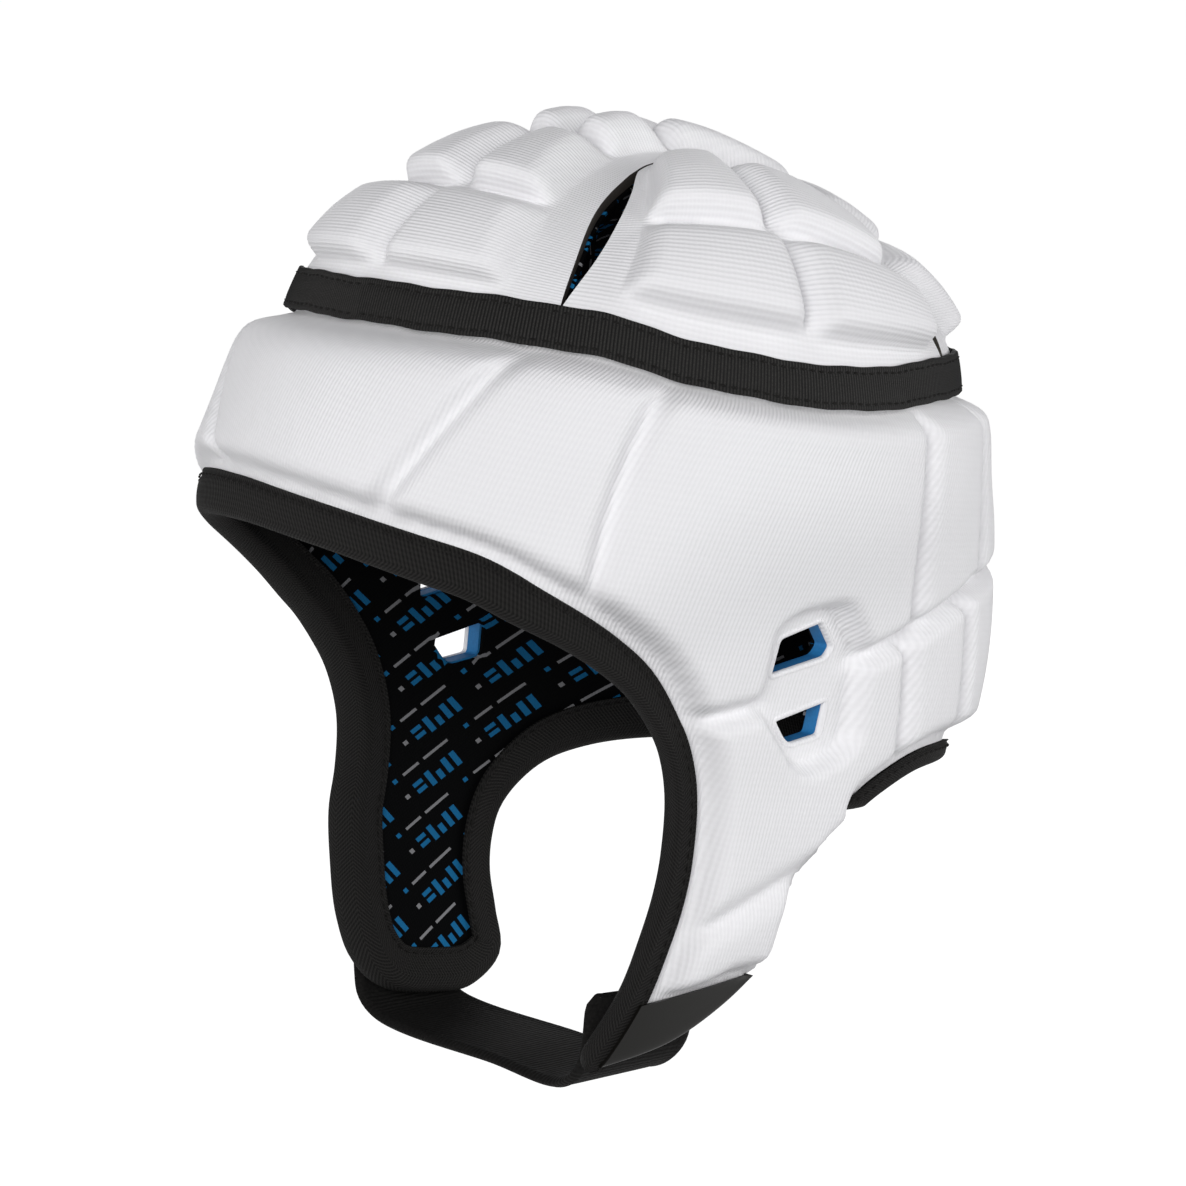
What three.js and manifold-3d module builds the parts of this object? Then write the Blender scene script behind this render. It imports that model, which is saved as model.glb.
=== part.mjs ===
// A soft shell football helmet: padded crown and lower shell with a lining, a seam tape,
// an edge binding, blue foam round the ear vents, and a chin strap under a fastening tab.
//
// Millimetres, +Z up, the face opening towards -Y, the wearer's left at +X.
// The origin is the underside of the crown lining, where the top of the head bears.

import * as THREE from 'three';
import { mergeVertices } from 'three/addons/utils/BufferGeometryUtils.js';
import Module from 'manifold-3d';

const wasm = await Module();
wasm.setup();

function onEdge([azimuth, height]) {
  return { azimuth, height };
}

// Layers of the lower shell, as depths below its padded outside.
const GAP = 0.3;
const SLACK = 1;
const CLOTH = 1;
const PAD = 7;
const WALL = 4;
const SHELL_INSIDE = PAD + WALL;
const LINING_OUTSIDE = SHELL_INSIDE + SLACK;
const LINING_INSIDE = LINING_OUTSIDE + CLOTH;

// The seam between crown and lower shell: an ellipse on a plane that is high at the brow.
const SEAM = { y: 13, z: -43.6, tilt: 10.2, halfWidth: 77, halfLength: 90 };

// The seam dips below its plane over the ears: the drop at each step of azimuth from brow to nape,
// and the rows of the shell over which it fades.
const DIPS = [0, 0, 0, -0.8, -4.6, -6.5, -6.7, -4.6, -2, -0.6, 0, 0, 0].map((drop) => ({ drop }));
const DIP_STEP = 15;
const DIP_ROWS = { full: 2, none: 3 };

// The crown at groove level: a dome on the seam plane, its top forward of the middle.
const CROWN = { rise: 47, power: 1.6, forward: 8, wall: 3, block: 8, lining: 4.2 };

// Angles of the crown's panels: along the head from brow to nape, and half the centre panel's
// span across it, at each step along.
const PANEL = { start: 0.25, end: 179.75, seam: 0.3 };
const SPANS = [33, 35, 34.5, 32.5, 28.5, 26.5, 27, 31, 38, 46, 51, 53, 53].map((half) => ({ half }));
const SPAN_STEP = 15;
const PANEL_GROOVES = [5, 26, 60, 90, 131, 152, 174];
const PANEL_COLUMNS = { groove: 0, flange: 0.74 };

// Open slits between the panels: their reach along the head and half their width, in degrees.
const SLITS = [
  { start: 4, end: 58, half: 2.4 },
  { start: 157, end: 177, half: 1.6 },
];

// A side panel's top corners along the head, and its grooves and flanges as shares of its sides.
const SIDE_PANEL = { front: 58, back: 128 };
const SIDE_COLUMNS = [0.08, 0.5, 0.93];
const SIDE_LEVELS = [0.12, 0.49, 0.96];

// Each block rises from its grooves over this share of its side, to this share of its height.
const SHOULDER = { run: 0.18, height: 0.88 };

// Sections of the lower shell's padded outside, from the seam down past the chin.
const SECTIONS = [
  { height: -43.6, tilt: 10.2, middle: 13, halfWidth: 84, front: 95.5, back: 95.5, power: 2 },
  { height: -49.5, tilt: 10.2, middle: 12, halfWidth: 84, front: 95.5, back: 95.5, power: 2 },
  { height: -57, tilt: 9, middle: 7, halfWidth: 84, front: 103, back: 108, power: 2.05 },
  { height: -81, tilt: 3.5, middle: 3, halfWidth: 83, front: 110.5, back: 113, power: 2.15 },
  { height: -111, tilt: 0, middle: 3, halfWidth: 75, front: 106, back: 117, power: 2.4 },
  { height: -146, tilt: 0, middle: 3, halfWidth: 71, front: 99, back: 106, power: 2.9 },
  { height: -186, tilt: 0, middle: 0, halfWidth: 69.5, front: 90, back: 90, power: 3.1 },
  { height: -231, tilt: 0, middle: -4, halfWidth: 62, front: 76, back: 76, power: 2.8 },
  { height: -250, tilt: 0, middle: -5, halfWidth: 59, front: 71, back: 71, power: 2.7 },
];
const RIM_ROW = 1;
const CREST_ROW = 2;

// Edges of the lower shell, as [azimuth from the brow, height]. From the brow to each temple, of which
// the right one is held higher:
const LEFT_BROW = [
  [0, -80], [12, -82], [27, -86.5], [36.5, -90.5], [44, -97], [50.5, -103.5], [57, -111.5],
].map(onEdge);
const RIGHT_BROW = [
  [0, -80], [12, -79], [20, -79.3], [28, -80.3], [36, -82.8], [43, -90], [50.5, -101], [57, -111.2],
].map(onEdge);
// Down the cheek on both sides:
const CHEEK = [
  [61.3, -118], [65, -126.5], [67.6, -135], [69.2, -148.3], [68.5, -163], [67, -173],
].map(onEdge);
// The left flap's front edge down to its tip, and the right flap's:
const LEFT_TIP = [[64.4, -184], [61, -198], [56, -214]].map(onEdge);
const RIGHT_TIP = [[66.4, -186], [65.8, -202], [67.5, -213], [72.5, -220.5]].map(onEdge);
// The flaps' lower ends:
const LEFT_END = [[59.5, -216], [70, -212.5], [82, -206.5], [89.5, -198]].map(onEdge);
const RIGHT_END = [[84, -224.5], [95, -225.5], [103, -220], [102, -209]].map(onEdge);
// From the back of each flap to the nape:
const LEFT_NECK = [[91.5, -186], [93.5, -177], [99, -168.5], [106, -162.5], [113, -158], [122, -155.5],
  [138, -158.5], [158, -165.5]].map(onEdge);
const RIGHT_NECK = [[100.5, -198], [101, -189], [103, -181], [107, -175], [113, -170], [122, -167.5],
  [138, -167], [158, -167.5]].map(onEdge);
const NAPE = onEdge([180, -167.5]);

// The bound edge flares out at the temples, most at each of these azimuths and rows.
const FLARE = { reach: 6, width: 18, rows: 0.45 };
const FLARE_PLACES = [
  { azimuth: 42, row: 3.6 },
  { azimuth: -39, row: 3.2 },
];

// Moulded grooves on the lower shell's left half, from and to [azimuth, height], mirrored on the right.
const GROOVES = [
  { name: 'brow', from: [35.5, -34], to: [19, -76] },
  { name: 'temple', from: [57.2, -42], to: [52.8, -98] },
  { name: 'side', from: [108, -57], to: [111, -117] },
  { name: 'back side', from: [131, -59], to: [129, -109.5] },
  { name: 'back', from: [156, -63], to: [155, -107.5] },
  { name: 'cheek', from: [66, -128.3], to: [82, -127.2] },
  { name: 'behind ear', from: [100, -121], to: [111, -117] },
  { name: 'occiput side', from: [109.5, -117.6], to: [126, -111] },
  { name: 'occiput', from: [124, -112], to: [181, -106.5] },
  { name: 'neck side', from: [110, -117], to: [112, -156] },
  { name: 'neck', from: [125, -111], to: [127, -150] },
  { name: 'nape', from: [155, -108], to: [156, -150] },
  { name: 'flap', from: [66, -184], to: [94, -172] },
];
const GROOVE = { depth: 4.8, half: 3.8, steps: 4 };

// The ear vents, seen from the side: a sunk frame and two holes in it, as [y, z].
const VENT_FRAME = [
  [-7, -108.5], [-1.5, -106], [10.5, -105.5], [14.5, -107], [24, -119.5], [22, -140.5],
  [18, -143.5], [8, -145.5], [3.5, -144], [-10, -126], [-8, -120],
];
const VENT_HOLES = [
  [[-3.3, -111.2], [11.3, -108.9], [17.2, -116.6], [14.8, -119.6], [-5.3, -121.2]],
  [[-2.5, -132.6], [17, -130.3], [15, -139.8], [4.2, -140.4], [1.4, -138.3]],
];
const VENT = { floor: 4, skin: 1, rim: 1.2 };

// The flat margin of the pads along the shell's edge, and their sloped border.
const MARGIN = { width: 12, slope: 0.85 };
const PAD_END = [
  { azimuth: 50, height: -198.5 },
  { azimuth: 78, height: -198.5 },
  { azimuth: 106, height: -196.5 },
];
const FLAP_REACH = 45;

// Trim: the seam tape, the edge binding, the chin strap and its tab.
const TAPE = { width: 10.4, lean: 0.25, thickness: 1.2, clearance: 0.9, steps: 50 };
const BINDING = { leg: 10, thickness: 1.1, wallInset: 3.5, slack: 1.3, steps: 62 };
const STRAP = { width: 32, thickness: 2.5, steps: 20 };
const STRAP_PATH = [
  { x: -63.9, y: -12, z: -204, lean: -0.05 },
  { x: -62.8, y: -13, z: -217, lean: -0.06 },
  { x: -60.8, y: -13.3, z: -225.4, lean: -0.05 },
  { x: -53, y: -14, z: -230.6, lean: -0.03 },
  { x: 0, y: -21, z: -230, lean: 0.05 },
  { x: 31, y: -26.5, z: -225.5, lean: 0.15 },
  { x: 41.8, y: -28.5, z: -216, lean: 0.22 },
  { x: 46.4, y: -28.5, z: -200, lean: 0.23 },
];
const TAB = {
  thickness: 1.4,
  clearance: 1.2,
  outline: [[-40, -200.6], [-7, -200], [-11, -203], [-26, -209.5], [-49, -216], [-48, -213.5]],
};

// Mesh fineness and reach of the cutting solids.
const AROUND = 40;
const PAD_ROWS = [0.03, 1, 1.2, 1.6, 2, 2.7, 3.1, 3.4, 3.8, 4.5, 5, 6, 8];
const LAYER_ROWS = [0.03, 2, 2.6, 3.1, 3.4, 3.8, 4.5, 5, 6, 8];
const EDGE_STEPS = 30;
const SLIT_STEPS = 6;
const DOME_AROUND = 24;
const DOME_LEVELS = [0.3, 14, 32, 54, 76];
const PROUD = 6.5;
const FAR = 400;
const BESIDE = 30;

const rad = THREE.MathUtils.degToRad;
const lerp = THREE.MathUtils.lerp;

// A smooth value between the rows of a table.
function between(rows, key, at) {
  const last = rows.length - 1;
  const i = Math.min(Math.max(Math.floor(at), 0), last - 1);
  const t = Math.min(Math.max(at - i, 0), 1);
  const b = rows[i][key];
  const c = rows[i + 1][key];
  const a = i > 0 ? rows[i - 1][key] : 2 * b - c;
  const d = i < last - 1 ? rows[i + 2][key] : 2 * c - b;
  const ease = t * t * (3 - 2 * t);
  const leave = t * (1 - t) * (1 - t) * (c - a) / 2;
  const arrive = t * t * (1 - t) * (d - b) / 2;
  return lerp(b, c, ease) + leave - arrive;
}

// A geometry whose faces point out, whichever way its corners were listed.
function outward(positions, index) {
  const corner = (k) => new THREE.Vector3().fromArray(positions, 3 * index[k]);
  let volume = 0;
  for (let f = 0; f < index.length; f += 3) {
    volume += corner(f).dot(corner(f + 1).cross(corner(f + 2)));
  }
  const geometry = new THREE.BufferGeometry();
  geometry.setAttribute('position', new THREE.Float32BufferAttribute(positions, 3));
  geometry.setIndex(volume > 0 ? index : index.slice().reverse());
  return geometry;
}

const flat = (points) => points.flatMap((point) => [point.x, point.y, point.z]);

// A closed solid through rings of points: round a loop, or from end to end with caps.
function loft(rings, capFaces) {
  const around = rings[0].length;
  const index = [];
  const spans = capFaces ? rings.length - 1 : rings.length;
  for (let i = 0; i < spans; i += 1) {
    const a = i * around;
    const b = ((i + 1) % rings.length) * around;
    for (let j = 0; j < around; j += 1) {
      const k = (j + 1) % around;
      index.push(a + j, b + j, b + k, a + j, b + k, a + k);
    }
  }
  if (capFaces) {
    const end = (rings.length - 1) * around;
    capFaces.forEach(([p, q, r]) => index.push(p, q, r, end + p, end + r, end + q));
  }
  return outward(flat(rings.flat()), index);
}

// Cap faces of a flat profile, turned the way that the loft's first ring needs.
function capsOf(profile) {
  const points = profile.map(([x, y]) => new THREE.Vector2(x, y));
  const faces = THREE.ShapeUtils.triangulateShape(points, []);
  const clockwise = THREE.ShapeUtils.isClockWise(points);
  return faces.map(([a, b, c]) => (clockwise ? [a, c, b] : [a, b, c]));
}

// A closed solid between an outer and an inner grid of points of the same size.
function slab(outer, inner) {
  const rows = outer.length;
  const columns = outer[0].length;
  const below = rows * columns;
  const index = [];
  const quad = (a, b, c, d) => index.push(a, b, c, a, c, d);
  for (let i = 0; i + 1 < rows; i += 1) {
    for (let j = 0; j + 1 < columns; j += 1) {
      const a = i * columns + j;
      const c = a + columns;
      quad(a, c, c + 1, a + 1);
      quad(below + a, below + a + 1, below + c + 1, below + c);
    }
  }
  const rim = [];
  for (let j = 0; j + 1 < columns; j += 1) rim.push(j);
  for (let i = 0; i + 1 < rows; i += 1) rim.push(i * columns + columns - 1);
  for (let j = columns - 1; j > 0; j -= 1) rim.push((rows - 1) * columns + j);
  for (let i = rows - 1; i > 0; i -= 1) rim.push(i * columns);
  rim.forEach((a, i) => {
    const b = rim[(i + 1) % rim.length];
    quad(a, b, below + b, below + a);
  });
  return outward(flat([...outer.flat(), ...inner.flat()]), index);
}

function mirroredGeometry(geometry) {
  const positions = Array.from(geometry.attributes.position.array, (value, i) => (i % 3 ? value : -value));
  return outward(positions, Array.from(geometry.index.array));
}

function solid(geometry) {
  const bare = geometry.clone();
  bare.deleteAttribute('normal');
  bare.deleteAttribute('uv');
  const merged = mergeVertices(bare);
  const vertProperties = new Float32Array(merged.attributes.position.array);
  const triVerts = new Uint32Array(merged.index.array);
  return new wasm.Manifold(new wasm.Mesh({ numProp: 3, vertProperties, triVerts }));
}

function geometryOf(manifold) {
  const { vertProperties, triVerts } = manifold.getMesh();
  const geometry = new THREE.BufferGeometry();
  geometry.setAttribute('position', new THREE.Float32BufferAttribute(Array.from(vertProperties), 3));
  geometry.setIndex(Array.from(triVerts));
  return geometry;
}

// A prism across the head, from an outline seen from the side, between two x limits.
function sidePrism(outline, fromX, toX) {
  const shape = new THREE.Shape(outline.map(([y, z]) => new THREE.Vector2(y, z)));
  const geometry = new THREE.ExtrudeGeometry(shape, { depth: toX - fromX, bevelEnabled: false });
  const axes = [new THREE.Vector3(0, 1, 0), new THREE.Vector3(0, 0, 1), new THREE.Vector3(1, 0, 0)];
  geometry.applyMatrix4(new THREE.Matrix4().makeBasis(...axes));
  geometry.translate(fromX, 0, 0);
  return solid(geometry);
}

// An outline with each corner moved in towards its middle.
function shrunk(outline, margin) {
  const middle = [0, 1].map((k) => outline.reduce((sum, point) => sum + point[k], 0) / outline.length);
  return outline.map(([y, z]) => {
    const share = 1 - margin / Math.hypot(y - middle[0], z - middle[1]);
    return [lerp(middle[0], y, share), lerp(middle[1], z, share)];
  });
}

// The seam's drop at an azimuth, the same on both sides of the head.
function dip(azimuth) {
  const turn = THREE.MathUtils.euclideanModulo(azimuth + 180, 360) - 180;
  return between(DIPS, 'drop', Math.abs(turn) / DIP_STEP);
}

// How far the shell flares out beyond its sections, falling off round the middle of each flare.
function flare(azimuth, row) {
  const turn = THREE.MathUtils.euclideanModulo(azimuth + 180, 360) - 180;
  return FLARE_PLACES.reduce((sum, place) => {
    const beside = (turn - place.azimuth) / FLARE.width;
    const below = (row - place.row) / FLARE.rows;
    return sum + FLARE.reach * Math.exp(-beside * beside - below * below);
  }, 0);
}

// The lower shell's surface, at a depth below its padded outside.
function shellPoint(azimuth, row, depth) {
  const at = (key) => between(SECTIONS, key, row);
  const sine = Math.sin(rad(azimuth));
  const cosine = Math.cos(rad(azimuth));
  const power = at('power');
  const reach = (Math.abs(sine) ** power + Math.abs(cosine) ** power) ** (-1 / power);
  const inset = depth - flare(azimuth, row);
  const length = at(cosine > 0 ? 'front' : 'back') - inset;
  const y = -length * reach * cosine;
  const x = (at('halfWidth') - inset) * reach * sine;
  const fade = THREE.MathUtils.clamp((DIP_ROWS.none - row) / (DIP_ROWS.none - DIP_ROWS.full), 0, 1);
  const z = at('height') + fade * dip(azimuth) - Math.tan(rad(at('tilt'))) * y;
  return new THREE.Vector3(x, at('middle') + y, z);
}

function onShell(azimuth, height, depth) {
  let low = 0;
  let high = SECTIONS.length - 1;
  while (high - low > 1e-6) {
    const middle = (low + high) / 2;
    if (shellPoint(azimuth, middle, 0).z > height) low = middle;
    else high = middle;
  }
  return shellPoint(azimuth, low, depth);
}

// A layer of the lower shell all round the head, between two depths that may change by row.
function shellLayer(outerDepth, innerDepth, outerRows = LAYER_ROWS) {
  const ring = (row, depth) => Array.from({ length: AROUND }, (_, i) => (
    shellPoint((i / AROUND) * 360, row, depth)
  ));
  const outside = outerRows.map((row) => ring(row, outerDepth(row)));
  const inside = LAYER_ROWS.map((row) => ring(row, innerDepth)).reverse();
  return solid(loft([...outside, ...inside]));
}

const even = (depth) => () => depth;

// The pads roll down to the seam's flange over the rows between rim and crest.
function paddedDepth(row) {
  const share = THREE.MathUtils.clamp((CREST_ROW - row) / (CREST_ROW - RIM_ROW), 0, 1);
  return PAD * (1 - Math.sqrt(1 - share * share));
}

// Stations along a path on the shell, each with the step on it square to the path.
// Seen from outside, the step points to the right of the way along the path.
function stationsOn(points, steps) {
  const curve = new THREE.CatmullRomCurve3(points.map((p) => new THREE.Vector3(p.azimuth, p.height, 0)));
  const small = 0.05;
  return Array.from({ length: steps + 1 }, (_, i) => {
    const here = curve.getPointAt(i / steps);
    const along = curve.getTangentAt(i / steps);
    const base = onShell(here.x, here.y, 0);
    const byAzimuth = onShell(here.x + small, here.y, 0).sub(base).divideScalar(small);
    const byHeight = onShell(here.x, here.y + small, 0).sub(base).divideScalar(small);
    const tangent = byAzimuth.clone().multiplyScalar(along.x).addScaledVector(byHeight, along.y);
    const square = [byHeight.dot(tangent), -byAzimuth.dot(tangent)];
    const length = byAzimuth.multiplyScalar(square[0]).addScaledVector(byHeight, square[1]).length();
    return { azimuth: here.x, height: here.y, step: square.map((part) => part / length) };
  });
}

const beside = (station, distance, depth) => onShell(
  station.azimuth + station.step[0] * distance,
  station.height + station.step[1] * distance,
  depth,
);

// A profile of [distance beside the path, depth] points carried along a path on the shell.
function carried(points, steps, profile) {
  const rings = stationsOn(points, steps).map((s) => profile.map(([distance, depth]) => (
    beside(s, distance, depth)
  )));
  return loft(rings, capsOf(profile));
}

// Edge paths, with the shell on the right of the way along them. Azimuths run on past the nape.
const turned = (points, toAzimuth) => points.map(({ azimuth, height }) => (
  { azimuth: toAzimuth(azimuth), height }
));
const toRight = (azimuth) => -azimuth;
const pastNape = (azimuth) => azimuth - 360;
const leftFace = [...LEFT_BROW, ...CHEEK, ...LEFT_TIP].reverse();
const rightFace = turned([...RIGHT_BROW, ...CHEEK, ...RIGHT_TIP], toRight);
const facePath = [...leftFace, ...rightFace.slice(1)];
const rightNeck = turned([...RIGHT_END, ...RIGHT_NECK, NAPE], toRight);
const leftNeck = turned([LEFT_END.at(-1), ...LEFT_NECK], pastNape).reverse();
const bindingPath = [...facePath, ...rightNeck, ...leftNeck];
const rightHalf = [...rightFace, ...rightNeck];
const leftHalf = [...LEFT_END, ...LEFT_NECK, NAPE].reverse().concat(leftFace);

// What the edges leave of the shell, as two prisms: the wall stops short of the binding's fold.
function keptHalf(points, depth, fromX, toX) {
  const outline = stationsOn(points, EDGE_STEPS).map((s) => {
    const p = beside(s, BINDING.wallInset, depth);
    return [p.y, p.z];
  });
  const [first, last] = [outline[0], outline.at(-1)];
  const wayOut = (end) => Math.sign(end[0]) * FAR;
  outline.push([wayOut(last), last[1]], [wayOut(last), FAR]);
  outline.push([wayOut(first), FAR], [wayOut(first), first[1]]);
  return sidePrism(outline, fromX, toX);
}

const keptAt = (depth) => keptHalf(leftHalf, depth, -1, FAR).add(keptHalf(rightHalf, depth, -FAR, 1));

const bothSides = (outline) => sidePrism(outline, BESIDE, FAR).add(sidePrism(outline, -FAR, -BESIDE));
const ventHoles = VENT_HOLES.map(bothSides).reduce((all, hole) => all.add(hole));

function grooveCutter({ from, to }) {
  const half = GROOVE.half * (GROOVE.depth + PROUD) / GROOVE.depth;
  const path = [from, to].map(([azimuth, height]) => ({ azimuth, height }));
  return carried(path, GROOVE.steps, [[-half, -PROUD], [0, GROOVE.depth], [half, -PROUD]]);
}

// The border that frees a flat margin along an edge and slopes the pads down to it.
function marginCutter(points) {
  const top = MARGIN.width + MARGIN.slope * (PAD + PROUD);
  const profile = [[-MARGIN.width, -PROUD], [-MARGIN.width, PAD], [MARGIN.width, PAD], [top, -PROUD]];
  return carried(points, EDGE_STEPS, profile);
}

function flapEndCutter() {
  const top = -MARGIN.slope * (PAD + PROUD);
  return carried(PAD_END, GROOVE.steps, [[top, -PROUD], [0, PAD], [FLAP_REACH, PAD], [FLAP_REACH, -PROUD]]);
}

function lowerShell() {
  const pairs = [...GROOVES.map(grooveCutter), flapEndCutter()];
  const cutters = [
    ...pairs,
    ...pairs.map(mirroredGeometry),
    marginCutter(facePath),
    marginCutter([...rightNeck.slice(2), ...leftNeck]),
  ];
  const sunkFrame = bothSides(VENT_FRAME).intersect(shellLayer(even(-PROUD), VENT.floor));
  const foamBed = shellLayer(even(VENT.floor + VENT.skin), SHELL_INSIDE + CLOTH);
  const pocket = bothSides(shrunk(VENT_FRAME, VENT.rim)).intersect(foamBed);
  const whole = shellLayer(paddedDepth, SHELL_INSIDE, PAD_ROWS).intersect(keptAt(PAD + WALL / 2));
  const grooved = cutters.reduce((left, cutter) => left.subtract(solid(cutter)), whole);
  return grooved.subtract(sunkFrame).subtract(pocket).subtract(ventHoles);
}

function shellLining() {
  const whole = shellLayer(even(LINING_OUTSIDE), LINING_INSIDE).intersect(keptAt(LINING_OUTSIDE));
  return whole.subtract(ventHoles);
}

function ventFoam(fromX, toX) {
  const block = sidePrism(shrunk(VENT_FRAME, VENT.rim + GAP), fromX, toX);
  return block.intersect(shellLayer(even(VENT.floor + VENT.skin + GAP), SHELL_INSIDE)).subtract(ventHoles);
}

function edgeBinding() {
  const { leg, thickness, slack } = BINDING;
  const outside = PAD - SLACK;
  const inside = LINING_INSIDE + slack;
  return carried(bindingPath, BINDING.steps, [
    [leg, outside], [leg, outside - thickness],
    [-thickness, outside - thickness], [-thickness, inside + thickness],
    [leg, inside + thickness], [leg, inside],
    [0, inside], [0, outside],
  ]);
}

// The tab lies over the binding's outer leg.
function chinTab() {
  const inner = PAD - SLACK - BINDING.thickness - TAB.clearance;
  return shellLayer(even(inner - TAB.thickness), inner).intersect(sidePrism(TAB.outline, BESIDE, FAR));
}

// The seam plane, from its own axes to the helmet's.
const seamFrame = new THREE.Matrix4()
  .makeRotationX(-rad(SEAM.tilt))
  .setPosition(0, SEAM.y, SEAM.z);

// The crown's surface in a direction from the seam's middle, a lift above groove level.
// Level cuts are ellipses, upright ones are more pointed than that, the top is drawn forward and
// the hem follows the seam's dip.
function crownPoint(direction, lift) {
  const halfWidth = SEAM.halfWidth + lift;
  const halfLength = SEAM.halfLength + lift;
  const flatReach = Math.hypot(direction.x / halfWidth, direction.y / halfLength);
  const upReach = Math.abs(direction.z) / (CROWN.rise + lift);
  const reach = (flatReach ** CROWN.power + upReach ** CROWN.power) ** (1 / CROWN.power);
  const point = direction.clone().divideScalar(reach);
  const azimuth = Math.atan2(point.x / halfWidth, -point.y / halfLength);
  const share = THREE.MathUtils.clamp(point.z / CROWN.rise, 0, 1);
  point.y -= CROWN.forward * (point.z / CROWN.rise) ** 2;
  point.z += dip(THREE.MathUtils.radToDeg(azimuth)) * (1 - share) ** 2;
  return point.applyMatrix4(seamFrame);
}

// A direction by its angles along the head from the brow, and across from the middle.
function crownDirection(along, across) {
  return new THREE.Vector3(
    Math.sin(rad(across)),
    -Math.cos(rad(across)) * Math.cos(rad(along)),
    Math.cos(rad(across)) * Math.sin(rad(along)),
  );
}

// Half the span of the centre panel across the head, and half the gap beside it.
const panelSpan = (along) => between(SPANS, 'half', along / SPAN_STEP);

function panelGap(along) {
  const open = SLITS.find(({ start, end }) => along > start && along < end);
  const slit = open ? open.half * Math.sin(Math.PI * (along - open.start) / (open.end - open.start)) : 0;
  return PANEL.seam + slit;
}

// Nodes over a row of blocks: flat to the first groove, up and down over each block, flat after.
function blockNodes(first, grooves, last) {
  const nodes = [{ at: first, height: 0 }];
  grooves.slice(0, -1).forEach((start, i) => {
    const end = grooves[i + 1];
    const { run, height } = SHOULDER;
    nodes.push(
      { at: start, height: 0 },
      { at: lerp(start, end, run), height },
      { at: lerp(start, end, 0.5), height: 1 },
      { at: lerp(end, start, run), height },
    );
  });
  nodes.push({ at: grooves.at(-1), height: 0 }, { at: last, height: 0 });
  return nodes;
}

// A padded panel: blocks on a grid of directions, backed by the crown's wall.
function paddedPanel(rows, columns, directionAt) {
  const outer = rows.map((row) => columns.map((column) => (
    crownPoint(directionAt(row.at, column.at), CROWN.block * row.height * column.height)
  )));
  const inner = rows.map((row) => columns.map((column) => (
    crownPoint(directionAt(row.at, column.at), -CROWN.wall)
  )));
  return slab(outer, inner);
}

function centrePanel() {
  const { groove, flange } = PANEL_COLUMNS;
  const rows = blockNodes(PANEL.start, PANEL_GROOVES, PANEL.end);
  const columns = blockNodes(-1, [-flange, groove, flange], 1);
  return paddedPanel(rows, columns, (along, share) => (
    crownDirection(along, share * (panelSpan(along) - panelGap(along)))
  ));
}

// The left side panel fills the space between four edges on the dome, blended across.
function sidePanelDirection(share, level) {
  const beyond = (along) => crownDirection(along, panelSpan(along) + panelGap(along));
  const front = (t) => beyond(lerp(PANEL.start, SIDE_PANEL.front, t));
  const back = (t) => beyond(lerp(PANEL.end, SIDE_PANEL.back, t));
  const top = (u) => beyond(lerp(SIDE_PANEL.front, SIDE_PANEL.back, u));
  const hem = (u) => {
    const azimuth = lerp(panelSpan(PANEL.start), 180 - panelSpan(PANEL.end), u);
    const low = rad(PANEL.start);
    return new THREE.Vector3(Math.sin(rad(azimuth)), -Math.cos(rad(azimuth)), low);
  };
  const mix = (a, b, t) => a.clone().lerp(b, t);
  const acrossLevels = mix(hem(share), top(share), level);
  const acrossShares = mix(front(level), back(level), share);
  const corners = mix(mix(front(0), back(0), share), mix(front(1), back(1), share), level);
  return acrossLevels.add(acrossShares).sub(corners).normalize();
}

function sidePanel() {
  const levels = blockNodes(0, SIDE_LEVELS, 1);
  const columns = blockNodes(0, SIDE_COLUMNS, 1);
  return paddedPanel(levels, columns, (level, share) => sidePanelDirection(share, level));
}

// The slits cut through the lining below the panels.
function slitCutter({ start, end }) {
  const steps = Array.from({ length: SLIT_STEPS + 1 }, (_, i) => lerp(start, end, i / SLIT_STEPS));
  const grid = (lift) => steps.map((along) => [-1, 1].map((side) => (
    crownPoint(crownDirection(along, panelSpan(along) + side * panelGap(along)), lift)
  )));
  return slab(grid(PROUD), grid(-CROWN.wall - CROWN.block));
}

function crownLining() {
  const ring = (level, lift) => Array.from({ length: DOME_AROUND }, (_, i) => {
    const azimuth = rad((i / DOME_AROUND) * 360);
    const flatPart = Math.cos(rad(level));
    return crownPoint(new THREE.Vector3(
      flatPart * Math.sin(azimuth),
      -flatPart * Math.cos(azimuth),
      Math.sin(rad(level)),
    ), lift);
  });
  const outside = DOME_LEVELS.map((level) => ring(level, -CROWN.lining)).reverse();
  const inside = DOME_LEVELS.map((level) => ring(level, -CROWN.lining - CLOTH));
  const fan = Array.from({ length: DOME_AROUND - 2 }, (_, i) => [0, i + 1, i + 2]);
  const pairs = SLITS.map(slitCutter);
  const cutters = [...pairs, ...pairs.map(mirroredGeometry)];
  const dome = solid(loft([...outside, ...inside], fan));
  return cutters.reduce((left, cutter) => left.subtract(solid(cutter)), dome);
}

// The tape follows the seam's dip and leans in at its top.
function crownTape() {
  const { width, lean, thickness, clearance, steps } = TAPE;
  const low = clearance + lean * width / 2;
  const high = clearance - lean * width / 2;
  const profile = [[low, -width / 2], [low + thickness, -width / 2],
    [high + thickness, width / 2], [high, width / 2]];
  const rings = Array.from({ length: steps }, (_, i) => profile.map(([out, up]) => {
    const azimuth = (i / steps) * 360;
    const x = (SEAM.halfWidth + out) * Math.sin(rad(azimuth));
    const y = -(SEAM.halfLength + out) * Math.cos(rad(azimuth));
    return new THREE.Vector3(x, y, up + dip(azimuth)).applyMatrix4(seamFrame);
  }));
  return loft(rings);
}

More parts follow.
